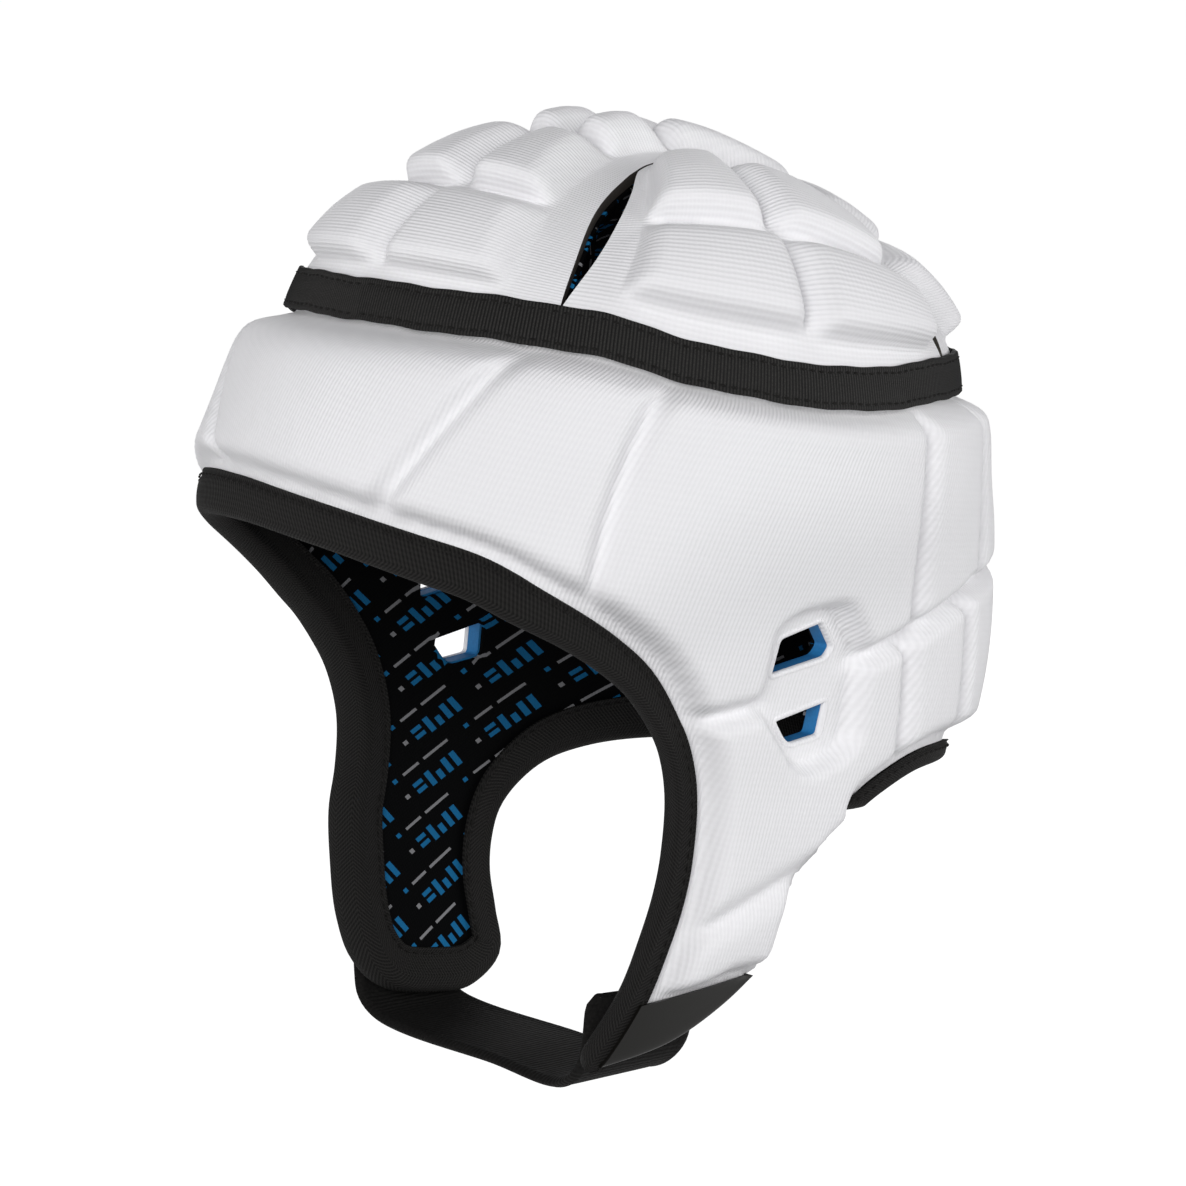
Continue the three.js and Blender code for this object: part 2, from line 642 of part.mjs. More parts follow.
// A flat strap along its path, its width lying front to back.
function chinStrap() {
  const curve = new THREE.CatmullRomCurve3(STRAP_PATH.map((p) => new THREE.Vector3(p.x, p.y, p.z)));
  const profile = [[-1, -1], [1, -1], [1, 1], [-1, 1]];
  const rings = Array.from({ length: STRAP.steps + 1 }, (_, i) => {
    const at = i / STRAP.steps;
    const lean = between(STRAP_PATH, 'lean', at * (STRAP_PATH.length - 1));
    const along = curve.getTangent(at);
    const wide = new THREE.Vector3(lean, 1, 0).projectOnPlane(along).setLength(STRAP.width / 2);
    const thick = along.clone().cross(wide).setLength(STRAP.thickness / 2);
    return profile.map(([w, t]) => curve.getPoint(at).addScaledVector(wide, w).addScaledVector(thick, t));
  });
  return loft(rings, capsOf(profile));
}

function material(color, roughness) {
  return new THREE.MeshStandardMaterial({ color, roughness, metalness: 0 });
}

const white = material(0xe9eaee, 0.75);
const black = material(0x141415, 0.85);
const lining = material(0x0a0a0b, 0.9);
const gloss = material(0x0c0c0d, 0.35);
const blue = material(0x1f6fa8, 0.8);

const helmet = new THREE.Group();

function addPiece(name, geometry, look) {
  const mesh = new THREE.Mesh(geometry, look.clone());
  mesh.name = name;
  helmet.add(mesh);
}

addPiece('crown_centre_panel', centrePanel(), white);
addPiece('crown_side_panel_left', sidePanel(), white);
addPiece('crown_side_panel_right', mirroredGeometry(sidePanel()), white);
addPiece('lower_shell', geometryOf(lowerShell()), white);
addPiece('crown_tape', crownTape(), black);
addPiece('edge_binding', edgeBinding(), black);
addPiece('crown_lining', geometryOf(crownLining()), lining);
addPiece('shell_lining', geometryOf(shellLining()), lining);
addPiece('ear_vent_foam_left', geometryOf(ventFoam(BESIDE, FAR)), blue);
addPiece('ear_vent_foam_right', geometryOf(ventFoam(-FAR, -BESIDE)), blue);
addPiece('chin_strap', chinStrap(), black);
addPiece('chin_tab', geometryOf(chinTab()), gloss);

export default helmet;
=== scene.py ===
"""Dresses a soft shell football helmet: moulded pads in white knit, black tape and binding,
a black printed lining, blue foam in the ear vents, and a chin strap under a satin tab.

The frame is in metres with +Z up, the face opening towards -Y and the wearer's left at +X.
The tables and constants below are in millimetres and degrees.
"""

import math

import bpy
import numpy as np
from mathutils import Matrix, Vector


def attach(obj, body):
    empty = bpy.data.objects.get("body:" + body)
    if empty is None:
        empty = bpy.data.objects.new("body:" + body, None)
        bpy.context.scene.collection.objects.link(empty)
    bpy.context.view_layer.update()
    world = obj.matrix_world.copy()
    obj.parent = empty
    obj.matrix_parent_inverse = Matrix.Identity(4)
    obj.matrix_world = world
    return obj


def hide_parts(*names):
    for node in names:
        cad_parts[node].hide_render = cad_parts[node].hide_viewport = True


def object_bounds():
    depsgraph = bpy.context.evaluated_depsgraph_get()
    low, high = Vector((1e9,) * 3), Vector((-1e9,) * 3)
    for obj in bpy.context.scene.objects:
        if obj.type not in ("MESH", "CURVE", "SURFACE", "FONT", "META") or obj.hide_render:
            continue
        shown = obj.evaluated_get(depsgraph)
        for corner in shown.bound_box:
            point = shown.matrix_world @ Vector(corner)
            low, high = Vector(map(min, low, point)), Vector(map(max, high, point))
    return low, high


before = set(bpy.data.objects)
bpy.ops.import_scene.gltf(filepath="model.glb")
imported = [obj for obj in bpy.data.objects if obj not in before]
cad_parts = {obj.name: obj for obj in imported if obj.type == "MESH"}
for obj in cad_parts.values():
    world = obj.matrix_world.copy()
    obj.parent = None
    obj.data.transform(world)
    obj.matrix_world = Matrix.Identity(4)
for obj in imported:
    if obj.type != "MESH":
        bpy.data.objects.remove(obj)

bl_info = {
    "name": "Soft shell football helmet",
    "version": (1, 0, 0),
    "blender": (4, 5, 0),
    "location": "View3D > Sidebar > Helmet",
    "description": "Builds the pads, trim, lining and strap of a soft shell football helmet",
    "category": "Add Mesh",
}

CAD_BOX = [list(corner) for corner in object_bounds()]
MM = 0.001


def table(columns, *rows):
    """A short table: each named column as one array."""
    return dict(zip(columns.split(), np.array(rows, float).T))


# Layers of the lower shell, as depths below its padded outside.
PAD = 7.0
SHELL_INSIDE = 11.0
LINING = (11.5, 12.5)
FOAM = (6.6, 11.3)
VENT_FLOOR = 5.6
VENT_SKIN = 6.4
# How far round a vent's hole only the cloth's skin is left.
VENT_SKIN_REACH = 3.4

# The seam between crown and lower shell, an ellipse on a plane that is high at the brow. It dips
# below the plane over the ears, by this much at each step of azimuth from brow to nape.
SEAM = dict(y=13.0, z=-43.6, tilt=10.2, half_width=77.0, half_length=90.0)
DIP = np.array([0, 0, 0, -0.8, -4.6, -6.5, -6.7, -4.6, -2, -0.6, 0, 0, 0], float)
DIP_STEP = 15.0
DIP_ROWS = (2.0, 3.0)
CROWN = dict(rise=47.0, power=1.6, forward=8.0, wall=3.6)
CROWN_LINING = (-3.9, -4.9)

# Sections of the lower shell's padded outside, from the seam down past the chin.
SECTIONS = table(
    "height tilt middle half_width front back power",
    (-43.6, 10.2, 13, 84, 95.5, 95.5, 2.0),
    (-49.5, 10.2, 12, 84, 95.5, 95.5, 2.0),
    (-57.0, 9.0, 7, 84, 103, 108, 2.05),
    (-81.0, 3.5, 3, 83, 110.5, 113, 2.15),
    (-111.0, 0.0, 3, 75, 106, 117, 2.4),
    (-146.0, 0.0, 3, 71, 99, 106, 2.9),
    (-186.0, 0.0, 0, 69.5, 90, 90, 3.1),
    (-231.0, 0.0, -4, 62, 76, 76, 2.8),
    (-250.0, 0.0, -5, 59, 71, 71, 2.7),
)
RIM_ROW = 1.0
TOP_ROW = 0.72
LOW_ROW = 7.4

# Edges of the lower shell as (azimuth from the brow, height): from the brow down the cheeks to each
# flap's tip, round the flaps' ends, and up to the nape. The right temple is held higher.
LEFT_BROW = [(0, -80), (12, -82), (27, -86.5), (36.5, -90.5), (44, -97), (50.5, -103.5), (57, -111.5)]
RIGHT_BROW = [(0, -80), (12, -79), (20, -79.3), (28, -80.3), (36, -82.8), (43, -90), (50.5, -101),
              (57, -111.2)]
CHEEK = [(61.3, -118), (65, -126.5), (67.6, -135), (69.2, -148.3), (68.5, -163), (67, -173)]
LEFT_TIP = [(64.4, -184), (60.5, -198), (52.8, -214.5)]
RIGHT_TIP = [(66.4, -186), (65.8, -202), (67.5, -213), (72.5, -220.5)]
LEFT_END = [(56.5, -213.5), (70, -208.5), (81, -203), (89.5, -195.5)]
RIGHT_END = [(84, -224.5), (95, -225.5), (103, -220), (102, -209)]
LEFT_REAR = [(91.5, -186), (93.5, -177), (99, -168.5), (106, -162.5), (113, -158), (122, -155.5),
             (138, -158.5), (158, -165.5)]
RIGHT_REAR = [(100.5, -198), (101, -189), (103, -181), (107, -175), (113, -170), (122, -167.5),
              (138, -167), (158, -167.5)]
NAPE = (180, -167.5)

# The shell flares out at the temples' bound edge, most at these azimuths and rows.
FLARE = dict(reach=6.0, width=18.0, rows=0.45)
FLARE_PLACES = ((42.0, 3.6), (-39.0, 3.2))

# Moulded grooves of the left half, mirrored on the right. Each is as deep as depth at its
# bottom, and its sides take run to rise.
GROOVES = table(
    "azimuth_from height_from azimuth_to height_to depth run",
    (35.5, -34, 19, -76, 4.0, 4.2),
    (57.2, -42, 52.8, -98, 4.0, 4.2),
    (108, -57, 111, -117, 4.8, 4.2),
    (131, -59, 129, -109.5, 4.8, 4.2),
    (156, -63, 155, -107.5, 4.8, 4.2),
    (66, -128.3, 82, -127.2, 4.6, 4.2),
    (100, -121, 111, -117, 4.8, 4.2),
    (109.5, -117.6, 126, -111, 4.8, 4.2),
    (124, -112, 181, -106.5, 4.8, 4.2),
    (110, -117, 112, -156, 4.8, 4.2),
    (125, -111, 127, -150, 4.8, 4.2),
    (155, -108, 156, -150, 4.8, 4.2),
    (66, -184, 94, -172, 2.8, 6.0),
)
GROOVE_FLOOR = 0.5
GROOVE_SPACING = 8.0

# Borders of the pads: the roll to the seam, the slope to the bound edge, and the flaps' ends.
SEAM_RUN = 8.0
MARGIN = dict(beyond=2.4, run=6.0)
PAD_END = table("azimuth height", (50, -198), (78, -198), (106, -195))
PAD_END_RUN = 5.0
VENT_RUN = 3.6
PUFF = dict(height=0.5, run=26.0)
# A pad's side: the power of its rounded top and the reach of its rounded foot.
RISE_POWER = 2.4
FOOT = 0.9

# The ear vents seen from the side, as (y, z): a sunk frame and two holes through it.
VENT_FRAME = np.array([(-7, -108.5), (-1.5, -106), (10.5, -105.5), (14.5, -107), (24, -119.5), (22, -140.5),
                       (18, -143.5), (8, -145.5), (3.5, -144), (-10, -126), (-8, -120)], float)
VENT_HOLES = [
    np.array([(-3.3, -111.2), (11.3, -108.9), (17.2, -116.6), (14.8, -119.6), (-5.3, -121.2)], float),
    np.array([(-2.5, -132.6), (17, -130.3), (15, -139.8), (4.2, -140.4), (1.4, -138.3)], float),
]
HOLE_CORNER = 1.6
FRAME_CORNER = 2.0
VENT_SIDE = 30.0
SIDE_AZIMUTHS = (35.0, 145.0)

# The lip round a hole: how far out of the hole each of its lines lies, at which depth, and how far
# its underside is below it. The foam ring behind it lies between two lines round the hole.
LIP = table(
    "out depth under",
    (0.9, VENT_FLOOR + 0.2, 0.9),
    (0.5, VENT_FLOOR - 0.25, 0.7),
    (0.0, VENT_FLOOR - 0.3, 0.7),
    (-0.5, VENT_FLOOR, 0.6),
    (-0.7, VENT_FLOOR + 0.7, 0.5),
    (-0.75, FOAM[0] + 0.3, 0.3),
)
LIP_SLOPE = 0.4
FOAM_RING = dict(inside=-0.5, outside=3.0, layers=5)

# The crown's panels: half the middle one's span at each step along the head, in degrees, grooves
# along the head, and open slits beside the middle.
PANEL = dict(start=0.25, end=179.75, seam=0.3, length=300.0, width=100.0)
SPANS = np.array([33, 35, 34.5, 32.5, 28.5, 26.5, 27, 31, 38, 46, 51, 53, 53], float)
SPAN_STEP = 15.0
PANEL_GROOVES = (5, 26, 60, 90, 131, 152, 174)
PANEL_COLUMNS = (-0.74, 0, 0.74)
SLITS = table("start end half", (4, 58, 2.4), (157, 177, 1.6))
SIDE_PANEL = dict(front=58.0, back=128.0, height=66.0, length=150.0)
SIDE_WEAVE = (62.0, 140.0)
SIDE_COLUMNS = (0.08, 0.5, 0.93)
SIDE_LEVELS = (0.12, 0.49, 0.96)
BLOCK = dict(height=8.4, floor=0.3, run=6.8, puff=1.8, puff_run=20.0)

# Trim: the seam tape, the edge binding, the strap and its tab.
TAPE = dict(width=10.4, lean=0.25, thickness=1.1, clearance=0.9, rib=0.85, columns_per_rib=3,
            rib_height=0.1, sewn=0.7, sewn_sink=0.28, sewn_run=0.07, curl=0.3, swell=0.25)
TAPE_ROWS = np.array([-1, -0.96, -0.8, -0.7, -0.6, -0.3, 0, 0.3, 0.6, 0.7, 0.8, 0.96, 1])
TAPE_SEWN_ROWS = (3, 9)
# The tape's waves up and down, each with its height, its count round the seam and its start.
TAPE_WAVES = ((0.16, 17, 0), (0.1, 41, 1))
BINDING = dict(brow=9.0, cheek=5.0, rear=3.5, leg=10.0, thickness=1.0, outside=5.4, inside=14.0,
               spacing=2.0, tip=5.0, tip_width=0.3, fold=0.62, sink=0.35, sink_run=0.7,
               turn_points=15, leg_points=7)
BINDING_HEIGHTS = (-130.0, -95.0)
BINDING_AZIMUTHS = (78.0, 92.0)
TURNED_UNDER = (82.0, 88.0, 105.0, 109.0)
UNDER = 4.2
UNDER_LEG = 0.9
STITCH = dict(inset=1.5, pitch=3.2, length=2.3, radius=0.28, first=1.0, arch=1.1, sunk=0.1)
STITCH_LINES, STITCH_SIDES = 5, 6
STRAP = dict(width=32.0, thickness=2.5, spacing=2.0, rim=0.35, rim_at=0.88, rim_run=0.05,
             end=5.0, end_width=0.86, columns=25, roll_power=10)
STRAP_PATH = table(
    "x y z lean",
    (-63.9, -12, -204, -0.05),
    (-62.8, -13, -217, -0.06),
    (-60.8, -13.3, -225.4, -0.05),
    (-53, -14, -229.8, -0.03),
    (0, -21, -228, 0.05),
    (33, -26.5, -225.4, 0.14),
    (43.6, -28.5, -217, 0.21),
    (46.8, -28.5, -200.5, 0.23),
)
TAB_TOP = np.array([(-42, -198.6), (-7, -197.4)])
TAB_LOW = np.array([(-50, -213), (-30, -209.2), (-14, -202.6), (-6, -197.8)])
TAB_PROFILE = table("share depth", (0, 4.5), (0.5, 4.2), (1, 4.2), (1.05, 5.6), (1.06, 8.4),
                    (1.0, 11.0), (0.6, 11.6))
TAB = dict(thickness=0.9, shy=0.06, spacing=1.2, rows=43)

# Fineness of the grids, in millimetres between their points.
FINE = 1.1
COARSE = 2.2
SHELL_COLUMNS = 480
LINING_COLUMNS = 264
PADS_INSET = 3.5
LINING_INSET = 2.5
EDGE_SPACING = 3.0
MARGIN_SPACING = 4.0
DENSE = 24
DENSE_ROWS = 600
HALVINGS = 26
# About as many millimetres as a degree of azimuth is long on the lower shell.
DEGREE = 1.45


def between(column, row):
    """A table's column at a fractional row: a Catmull-Rom curve through its rows."""
    whole = np.concatenate(([2 * column[0] - column[1]], column, [2 * column[-1] - column[-2]]))
    i = np.clip(np.floor(row).astype(int), 0, len(column) - 2)
    t = np.clip(row - i, 0, 1)
    a, b, c, d = (whole[i + k] for k in range(4))
    ease = t * t * (3 - 2 * t)
    return b + (c - b) * ease + t * (1 - t) ** 2 * (c - a) / 2 - t * t * (1 - t) * (d - b) / 2


def run_along(points):
    """Length of a polyline from its start to each of its points."""
    steps = np.linalg.norm(np.diff(points, axis=0), axis=1)
    return np.concatenate(([0], np.cumsum(steps)))


def halved(low, high, is_before):
    """The places at which a test stops being true, found by halving the spans from low to high."""
    for _ in range(HALVINGS):
        middle = (low + high) / 2
        before = is_before(middle)
        low, high = np.where(before, middle, low), np.where(before, high, middle)
    return low


def turned(azimuth):
    """An azimuth brought between -180 and 180 degrees."""
    return (azimuth + 180) % 360 - 180


def smooth_line(points, spacing, weights=1.0):
    """A centripetal Catmull-Rom curve through points, in even steps of about spacing.

    weights turn the columns into millimetres when lengths along the curve are measured.
    """
    points = np.asarray(points, float)
    p = np.vstack([2 * points[0] - points[1], points, 2 * points[-1] - points[-2]])
    step = np.diff(p, axis=0)
    knot = np.sqrt(np.linalg.norm(step, axis=1))[:, None]
    slope = step / knot
    tangent = slope[:-1] - (p[2:] - p[:-2]) / (knot[:-1] + knot[1:]) + slope[1:]
    t = np.linspace(0, 1, DENSE, endpoint=False)[None, :, None]
    a, b = p[1:-2, None], p[2:-1, None]
    leave, arrive = (tangent[:-1] * knot[1:-1])[:, None], (tangent[1:] * knot[1:-1])[:, None]
    ease = t * t * (3 - 2 * t)
    curve = a + (b - a) * ease + t * (1 - t) ** 2 * leave - t * t * (1 - t) * arrive
    curve = np.vstack([curve.reshape(-1, p.shape[1]), points[-1]])
    at = run_along(curve * weights)
    even = np.linspace(0, at[-1], max(int(at[-1] / spacing), 2) + 1)
    return np.stack([np.interp(even, at, column) for column in curve.T], axis=-1)


def dip(azimuth):
    """The seam's drop below its plane at an azimuth, the same on both sides of the head."""
    return between(DIP, abs(turned(azimuth)) / DIP_STEP)


def flare(azimuth, row):
    """How far the shell flares out beyond its sections: a bell over azimuth and row at each temple."""
    turn = turned(azimuth)
    bells = [np.exp(-((turn - place) / FLARE["width"]) ** 2 - ((row - level) / FLARE["rows"]) ** 2)
             for place, level in FLARE_PLACES]
    return FLARE["reach"] * sum(bells)


def shell_point(azimuth, row, depth):
    """A point of the lower shell at a depth below its padded outside.

    Each section is a superellipse of its own power, with its own half width, reach to the front
    and reach to the back, all less the depth, on a plane tilted down towards the back. The upper
    sections follow the seam's dip, and the temples flare.
    """
    sine, cosine = np.sin(np.radians(azimuth)), np.cos(np.radians(azimuth))
    at = {name: between(column, row) for name, column in SECTIONS.items()}
    reach = (abs(sine) ** at["power"] + abs(cosine) ** at["power"]) ** (-1 / at["power"])
    depth = depth - flare(azimuth, row)
    y = -(np.where(cosine > 0, at["front"], at["back"]) - depth) * reach * cosine
    x = (at["half_width"] - depth) * reach * sine
    drop = dip(azimuth) * np.clip((DIP_ROWS[1] - row) / (DIP_ROWS[1] - DIP_ROWS[0]), 0, 1)
    z = at["height"] + drop - np.tan(np.radians(at["tilt"])) * y
    return np.stack(np.broadcast_arrays(x, at["middle"] + y, z), -1)


def row_at(azimuth, height):
    """The row of the lower shell's sections at a height of its outside, found by halving."""
    first = np.zeros(np.broadcast(azimuth, height).shape)
    last = first + len(SECTIONS["height"]) - 1
    return halved(first, last, lambda row: shell_point(azimuth, row, 0)[..., 2] > height)


def on_shell(azimuth, height, depth):
    """The lower shell's point at a depth below the place of its outside with that height."""
    return shell_point(azimuth, row_at(azimuth, height), depth)


def side_point(y, z, depth, side):
    """The point of the lower shell's left (1) or right (-1) side that shows at (y, z) from the side."""
    first, last = (np.full(np.shape(y), azimuth) for azimuth in SIDE_AZIMUTHS)
    azimuth = halved(first, last, lambda middle: on_shell(middle, z, depth)[..., 1] < y)
    return on_shell(azimuth, z, depth) * (side, 1, 1)


def stations(points, spacing):
    """Even stations (azimuth, height) along a path on the lower shell, each with the step on it
    that is square to the path and points to its right, seen from outside."""
    line = smooth_line(points, spacing, (DEGREE, 1))
    small = 0.05
    base = on_shell(line[:, 0], line[:, 1], 0)
    by_azimuth = (on_shell(line[:, 0] + small, line[:, 1], 0) - base) / small
    by_height = (on_shell(line[:, 0], line[:, 1] + small, 0) - base) / small
    along = np.gradient(line, axis=0)
    tangent = by_azimuth * along[:, :1] + by_height * along[:, 1:]
    square = np.stack([(by_height * tangent).sum(1), -(by_azimuth * tangent).sum(1)], -1)
    length = np.linalg.norm(by_azimuth * square[:, :1] + by_height * square[:, 1:], axis=1)
    return line, square / length[:, None]


def beside(path, distance, depth):
    """Points beside a path of stations: each profile point at its distance and depth."""
    line, step = path
    azimuth = line[:, :1] + step[:, :1] * distance
    height = line[:, 1:] + step[:, 1:] * distance
    return on_shell(azimuth, height, depth)


def mirrored(points):
    """Places (azimuth, height) moved from the left side to the right."""
    return [(-azimuth, height) for azimuth, height in points]


LEFT_FACE = (LEFT_BROW + CHEEK + LEFT_TIP)[::-1]
RIGHT_FACE = mirrored(RIGHT_BROW + CHEEK + RIGHT_TIP)
RIGHT_NECK = mirrored(RIGHT_END + RIGHT_REAR + [NAPE])
LEFT_NECK = [(azimuth - 360, height) for azimuth, height in ([LEFT_END[-1]] + LEFT_REAR)[::-1]]
BOUND_EDGE = LEFT_FACE + RIGHT_FACE[1:] + RIGHT_NECK + LEFT_NECK
WHOLE_EDGE = (LEFT_END + LEFT_REAR + [NAPE])[::-1] + LEFT_FACE + RIGHT_FACE[1:] + RIGHT_NECK


def turned_under(line):
    """Share by which the binding is turned under at places (azimuth, height): whole on the rear edge
    of the left flap."""
    return np.interp(turned(line[:, 0]), TURNED_UNDER, (0, 1, 1, 0))


def outer_leg(line):
    """Width of the binding's outer leg at places (azimuth, height): broad on the brow, narrower on
    the cheeks and on the neck's edge, and next to none where it is turned under."""
    front = np.interp(line[:, 1], BINDING_HEIGHTS, (BINDING["cheek"], BINDING["brow"]))
    behind = np.interp(abs(turned(line[:, 0])), BINDING_AZIMUTHS, (0, 1))
    return (front + (BINDING["rear"] - front) * behind) * (1 - UNDER_LEG * turned_under(line))


def rise(distance, run):
    """A pad's height beside its border, from 0 to 1: rounded at its foot and at its top, and
    steep between them. Distances are cut well past the run, so they may be infinite."""
    clear = np.clip(distance, 0, 4 * run)
    clear = clear * clear / (clear + FOOT)
    return 1 - (1 - np.clip(clear / run, 0, 1)) ** RISE_POWER


def distance_to(points, line, less=None):
    """Distance from each point to a polyline, less a width at each of its places: the least over
    its segments."""
    less = np.zeros(len(line)) if less is None else less
    least = np.full(len(points), np.inf)
    for start, along, width in zip(line[:-1], np.diff(line, axis=0), less):
        share = np.clip((points - start) @ along / (along @ along), 0, 1)
        distance = np.linalg.norm(points - start - share[:, None] * along, axis=1)
        least = np.minimum(least, distance - width)
    return least


def inside(points, outline):
    """Whether points lie in a closed outline: an odd number of its sides crosses their ray."""
    odd = np.zeros(len(points), bool)
    for (x0, y0), (x1, y1) in zip(outline, np.roll(outline, -1, axis=0)):
        lean = (x1 - x0) / (y1 - y0) if y1 != y0 else 0
        spans = (y0 > points[:, 1]) != (y1 > points[:, 1])
        odd ^= spans & (points[:, 0] < x0 + (points[:, 1] - y0) * lean)
    return odd


def nearest_on(points, outline):
    """The nearest point of a closed outline to each point."""
    least, nearest = np.full(len(points), np.inf), points.copy()
    for start, end in zip(outline, np.roll(outline, -1, axis=0)):
        along = end - start
        share = np.clip((points - start) @ along / (along @ along), 0, 1)
        foot = start + share[:, None] * along
        distance = np.linalg.norm(points - foot, axis=1)
        nearest = np.where((distance < least)[:, None], foot, nearest)
        least = np.minimum(least, distance)
    return nearest


def rounded(outline, radius, steps=6):
    """An outline whose corners are parabolas that leave and meet its sides at radius from them."""
    before, after = np.roll(outline, 1, axis=0) - outline, np.roll(outline, -1, axis=0) - outline
    leave = outline + before * (radius / np.linalg.norm(before, axis=1))[:, None]
    meet = outline + after * (radius / np.linalg.norm(after, axis=1))[:, None]
    t = np.linspace(0, 1, steps)[None, :, None]
    arcs = (1 - t) ** 2 * leave[:, None] + 2 * t * (1 - t) * outline[:, None] + t * t * meet[:, None]
    return arcs.reshape(-1, 2)


def grown(outline, distance):
    """A closed outline moved outwards, each point along the mean of its sides' normals."""
    along = np.roll(outline, -1, axis=0) - np.roll(outline, 1, axis=0)
    normal = np.stack([along[:, 1], -along[:, 0]], -1) / np.linalg.norm(along, axis=1)[:, None]
    x, y = outline.T
    turn = np.sign(np.sum(x * np.roll(y, -1) - y * np.roll(x, -1)))
    return outline + turn * distance * normal


HOLE_OUTLINES = [rounded(hole, HOLE_CORNER) for hole in VENT_HOLES]


def crown_point(direction, lift):
    """The crown in a direction from the seam's middle, a lift above groove level.

    Level cuts are ellipses. Upright cuts are superellipses of a lower power, the top is drawn
    forward by the square of its height, and the hem follows the seam's dip. The whole is tilted
    onto the seam's plane.
    """
    wide, long, tall = SEAM["half_width"], SEAM["half_length"], CROWN["rise"]
    flat = np.hypot(direction[..., 0] / (wide + lift), direction[..., 1] / (long + lift))
    up = abs(direction[..., 2]) / (tall + lift)
    reach = (flat ** CROWN["power"] + up ** CROWN["power"]) ** (1 / CROWN["power"])
    x, y, z = np.moveaxis(direction / reach[..., None], -1, 0)
    azimuth = np.degrees(np.arctan2(x / wide, -y / long))
    drop = dip(azimuth) * np.clip(1 - z / tall, 0, 1) ** 2
    return seam_point(x, y - CROWN["forward"] * (z / tall) ** 2, z + drop)


def seam_point(x, y, z):
    """A point in the seam plane's own axes, turned and moved to the helmet's."""
    tilt = math.radians(SEAM["tilt"])
    sine, cosine = math.sin(tilt), math.cos(tilt)
    back, up = SEAM["y"] + cosine * y + sine * z, SEAM["z"] - sine * y + cosine * z
    return np.stack(np.broadcast_arrays(x, back, up), -1)


def crown_direction(along, across):
    """A direction by its angles along the head from the brow and across it from the middle."""
    along, across = np.radians(along), np.radians(across)
    flat = np.cos(across)
    return np.stack(np.broadcast_arrays(np.sin(across), -flat * np.cos(along), flat * np.sin(along)), -1)


def panel_span(along):
    """Half the centre panel's span across the head, in degrees, at an angle along it."""
    return between(SPANS, along / SPAN_STEP)


def slit_gap(along):
    """Half the open slit beside the centre panel: a half sine wave between its ends."""
    share = (along[..., None] - SLITS["start"]) / (SLITS["end"] - SLITS["start"])
    return (SLITS["half"] * np.sin(np.pi * np.clip(share, 0, 1))).sum(-1)


def centre_directions(along, share, seam):
    """Directions over the centre panel, by angle along the head and share of its half span."""
    return crown_direction(along, share * (panel_span(along) - slit_gap(along) - seam))


def side_directions(share, level, seam):
    """Directions over the left side panel: its hem and top blended by level, its front and back by
    share, less the blend of its corners."""

    def beyond(along):
        """The border with the centre panel, past its slit and seam."""
        return crown_direction(along, panel_span(along) + slit_gap(along) + seam)

    def mix(a, b, t):
        """From a to b by a share."""
        return a + (b - a) * t[..., None]

    def along_front(t):
        """The border from the hem's front to the top's front."""
        return beyond(PANEL["start"] + (SIDE_PANEL["front"] - PANEL["start"]) * t)

    def along_back(t):
        """The border from the hem's back to the top's back."""
        return beyond(PANEL["end"] + (SIDE_PANEL["back"] - PANEL["end"]) * t)

    ends = panel_span(np.array([PANEL["start"], PANEL["end"]]))
    azimuth = np.radians(ends[0] + (180 - ends[1] - ends[0]) * share)
    low = np.full_like(azimuth, math.radians(PANEL["start"]))
    hem = np.stack([np.sin(azimuth), -np.cos(azimuth), low], -1)
    top = beyond(SIDE_PANEL["front"] + (SIDE_PANEL["back"] - SIDE_PANEL["front"]) * share)
    none, full = np.zeros_like(share), np.ones_like(share)
    low_corners = mix(along_front(none), along_back(none), share)
    corners = mix(low_corners, mix(along_front(full), along_back(full), share), level)
    blend = mix(hem, top, level) + mix(along_front(level), along_back(level), share) - corners
    return blend / np.linalg.norm(blend, axis=-1, keepdims=True)


def grid_faces(rows, columns, around=False):
    """Corner numbers of a grid's quads. Around joins its last column to its first."""
    i, j = np.mgrid[0:rows - 1, 0:columns if around else columns - 1]
    k = (j + 1) % columns
    here, below = i * columns, (i + 1) * columns
    return np.stack([here + j, here + k, below + k, below + j], -1).reshape(-1, 4)


def walled(outer, inner, faces):
    """A closed wall: faces on the outer points, the same faces turned over on the inner ones, and
    a quad along each free edge. Gives the points, the faces and how many of them lie on each."""
    used, corners = np.unique(faces, return_inverse=True)
    outer, inner, faces = outer[used], inner[used], corners.reshape(-1, 4)
    count = len(outer)
    edges = np.vstack([faces[:, [i, (i + 1) % 4]] for i in range(4)])
    free = edges[~np.isin(edges[:, 0] * count + edges[:, 1], edges[:, 1] * count + edges[:, 0])]
    a, b = free.T
    sides = np.stack([b, a, a + count, b + count], -1)
    part = np.repeat([0, 1, 2], [len(faces), len(faces), len(sides)])
    return dict(points=np.vstack([outer, inner]), faces=np.vstack([faces, faces[:, ::-1] + count, sides]),
                part=part, used=np.concatenate([used, used]))


def with_uv(wall, uv, period=0.0):
    """The wall with a weave map: uv in millimetres at each grid point, given to each face's corners.

    Where a face crosses the place at which u starts again, its low corners take the next period.
    """
    loops = uv.reshape(-1, 2)[wall["used"]][wall["faces"]]
    if period:
        u = loops[..., 0]
        crosses = np.ptp(u, axis=1) > period / 2
        loops[..., 0] = np.where(crosses[:, None] & (u < u.mean(1, keepdims=True)), u + period, u)
    return dict(wall, uv=loops)


def sheet(outer, inner, uv, around=False, period=0.0):
    """A closed wall between two grids of points, with its weave map."""
    faces = grid_faces(*outer.shape[:2], around)
    return with_uv(walled(outer.reshape(-1, 3), inner.reshape(-1, 3), faces), uv, period)


